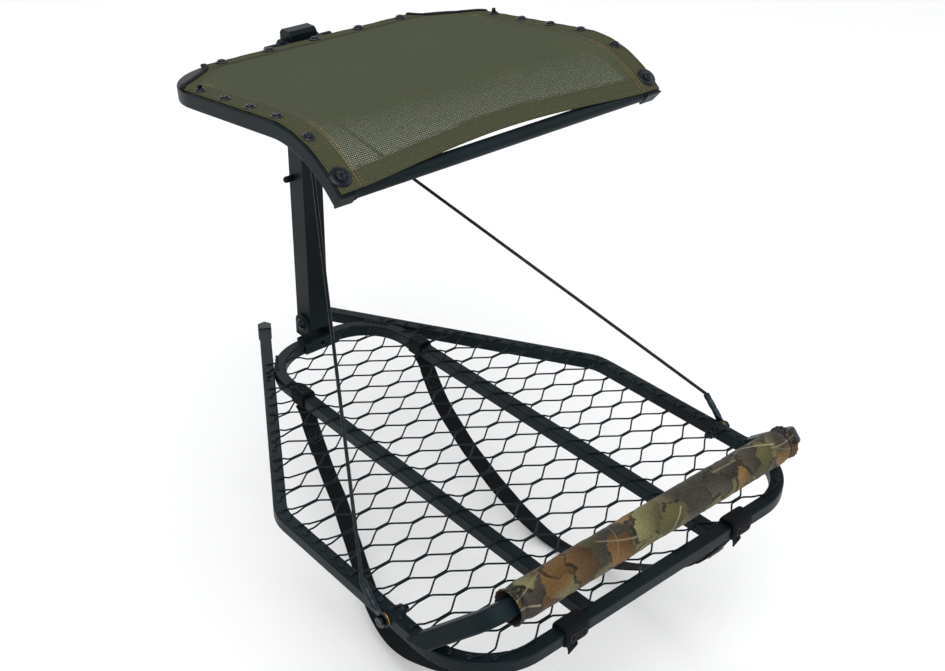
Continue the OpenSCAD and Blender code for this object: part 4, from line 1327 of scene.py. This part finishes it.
def sleeve_radius(x, a, r, place):
    """Pleats at the gathered mouths, soft lumps and a few wrinkles along the middle."""
    edge = SLEEVE_HALF - abs(x)
    pleat = mouth_wave(x, a) + 0.5 * math.sin(a * 29 + 2.0)
    near = math.exp(-((edge - 5.0) / 7.5) ** 2) if edge < 40 else 0.0
    r += 0.42 * pleat * near
    if place == 0:
        r += 0.3 * pleat * math.exp(-((edge - 17.0) / 8.0) ** 2)
        calm = min(1.0, max(0.0, (edge - 20.0) / 40.0))
        r += calm * (0.75 * noise_at(x * 0.022, math.cos(a) * 1.2, math.sin(a) * 1.2))
        ridge = noise_at(x * 0.055 + 1.5 * math.sin(a), math.cos(a) * 1.7,
                                    3.0 + math.sin(a) * 1.7)
        r += calm * 0.55 * (1 - abs(ridge) * 3.0 if abs(ridge) < 0.33 else 0.0)
        # sewn seam along the underside
        away = (a - math.radians(250) + math.pi) % (2 * math.pi) - math.pi
        r -= 0.9 * math.exp(-(away * SLEEVE_R / 1.2) ** 2)
        r += 0.45 * math.exp(-((abs(away * SLEEVE_R) - 3.2) / 1.6) ** 2)
    return r


def make_sleeve():
    profile = sleeve_profile()
    n = 116
    verts, uvs = [], []
    for x, r, place in profile:
        for i in range(n):
            a = 2 * math.pi * i / n
            rr = sleeve_radius(x, a, r, place)
            lip = 0.0
            edge = SLEEVE_HALF - abs(x)
            if edge < 4:
                lip = 0.3 * mouth_wave(x, a) * math.copysign(1, x)
            droop = -0.6 if place == 0 else 0.0
            verts.append((x + lip, SLEEVE_Y + rr * math.cos(a), SLEEVE_Z + rr * math.sin(a) + droop))
            uvs.append((x, a * SLEEVE_R))
    made = build("foot_sleeve", verts, ring_faces(len(profile), n), "camo_cloth", "platform", uvs=uvs)
    place = np.repeat([p[2] for p in profile], n)
    u = np.array([q[0] for q in uvs])
    v = np.array([q[1] for q in uvs])
    col = print_colours(u, v)
    edge = SLEEVE_HALF - np.abs(u)
    # painted shade: the print is darkened in a band over each ruffled mouth
    hem = np.clip(1 - np.abs(edge - 5.5) / 5.5, 0, 1)[:, None]
    col = col * (1 - hem * 0.45)
    # painted shade: the print is darkened along the pinched crease where each mouth is gathered
    gather_crease_shade = np.exp(-((edge - 11.0) / 1.6) ** 2)[:, None]
    col = col * (1 - gather_crease_shade * 0.55)
    # painted shade: inside each mouth the same print is made nearly black
    col[place > 0] *= 0.16
    paint = made.data.color_attributes.new(name="print", type="FLOAT_COLOR", domain="POINT")
    full = np.ones((len(col), 4), np.float32)
    full[:, :3] = col
    paint.data.foreach_set("color", full.ravel())
    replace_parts(made, "footrest_sleeve")
    # stitching round each mouth
    pile = Pile()
    for sx in (-1, 1):
        for off in (10.2, 12.2):
            x = sx * (SLEEVE_HALF - off)
            pts, nor = [], []
            for i in range(97):
                a = 2 * math.pi * i / 96
                r = sleeve_radius(x, a, SLEEVE_R * (0.868 if off < 11 else 0.87), 0) + 0.5
                pts.append((x, SLEEVE_Y + r * math.cos(a), SLEEVE_Z + r * math.sin(a)))
                nor.append((0, math.cos(a), math.sin(a)))
            stitches(pile, pts, nor, 2.6, 1.3, 0.36)
    pile.made("sleeve_stitching", "black_thread", "platform", slot="camo_cloth")


make_sleeve()
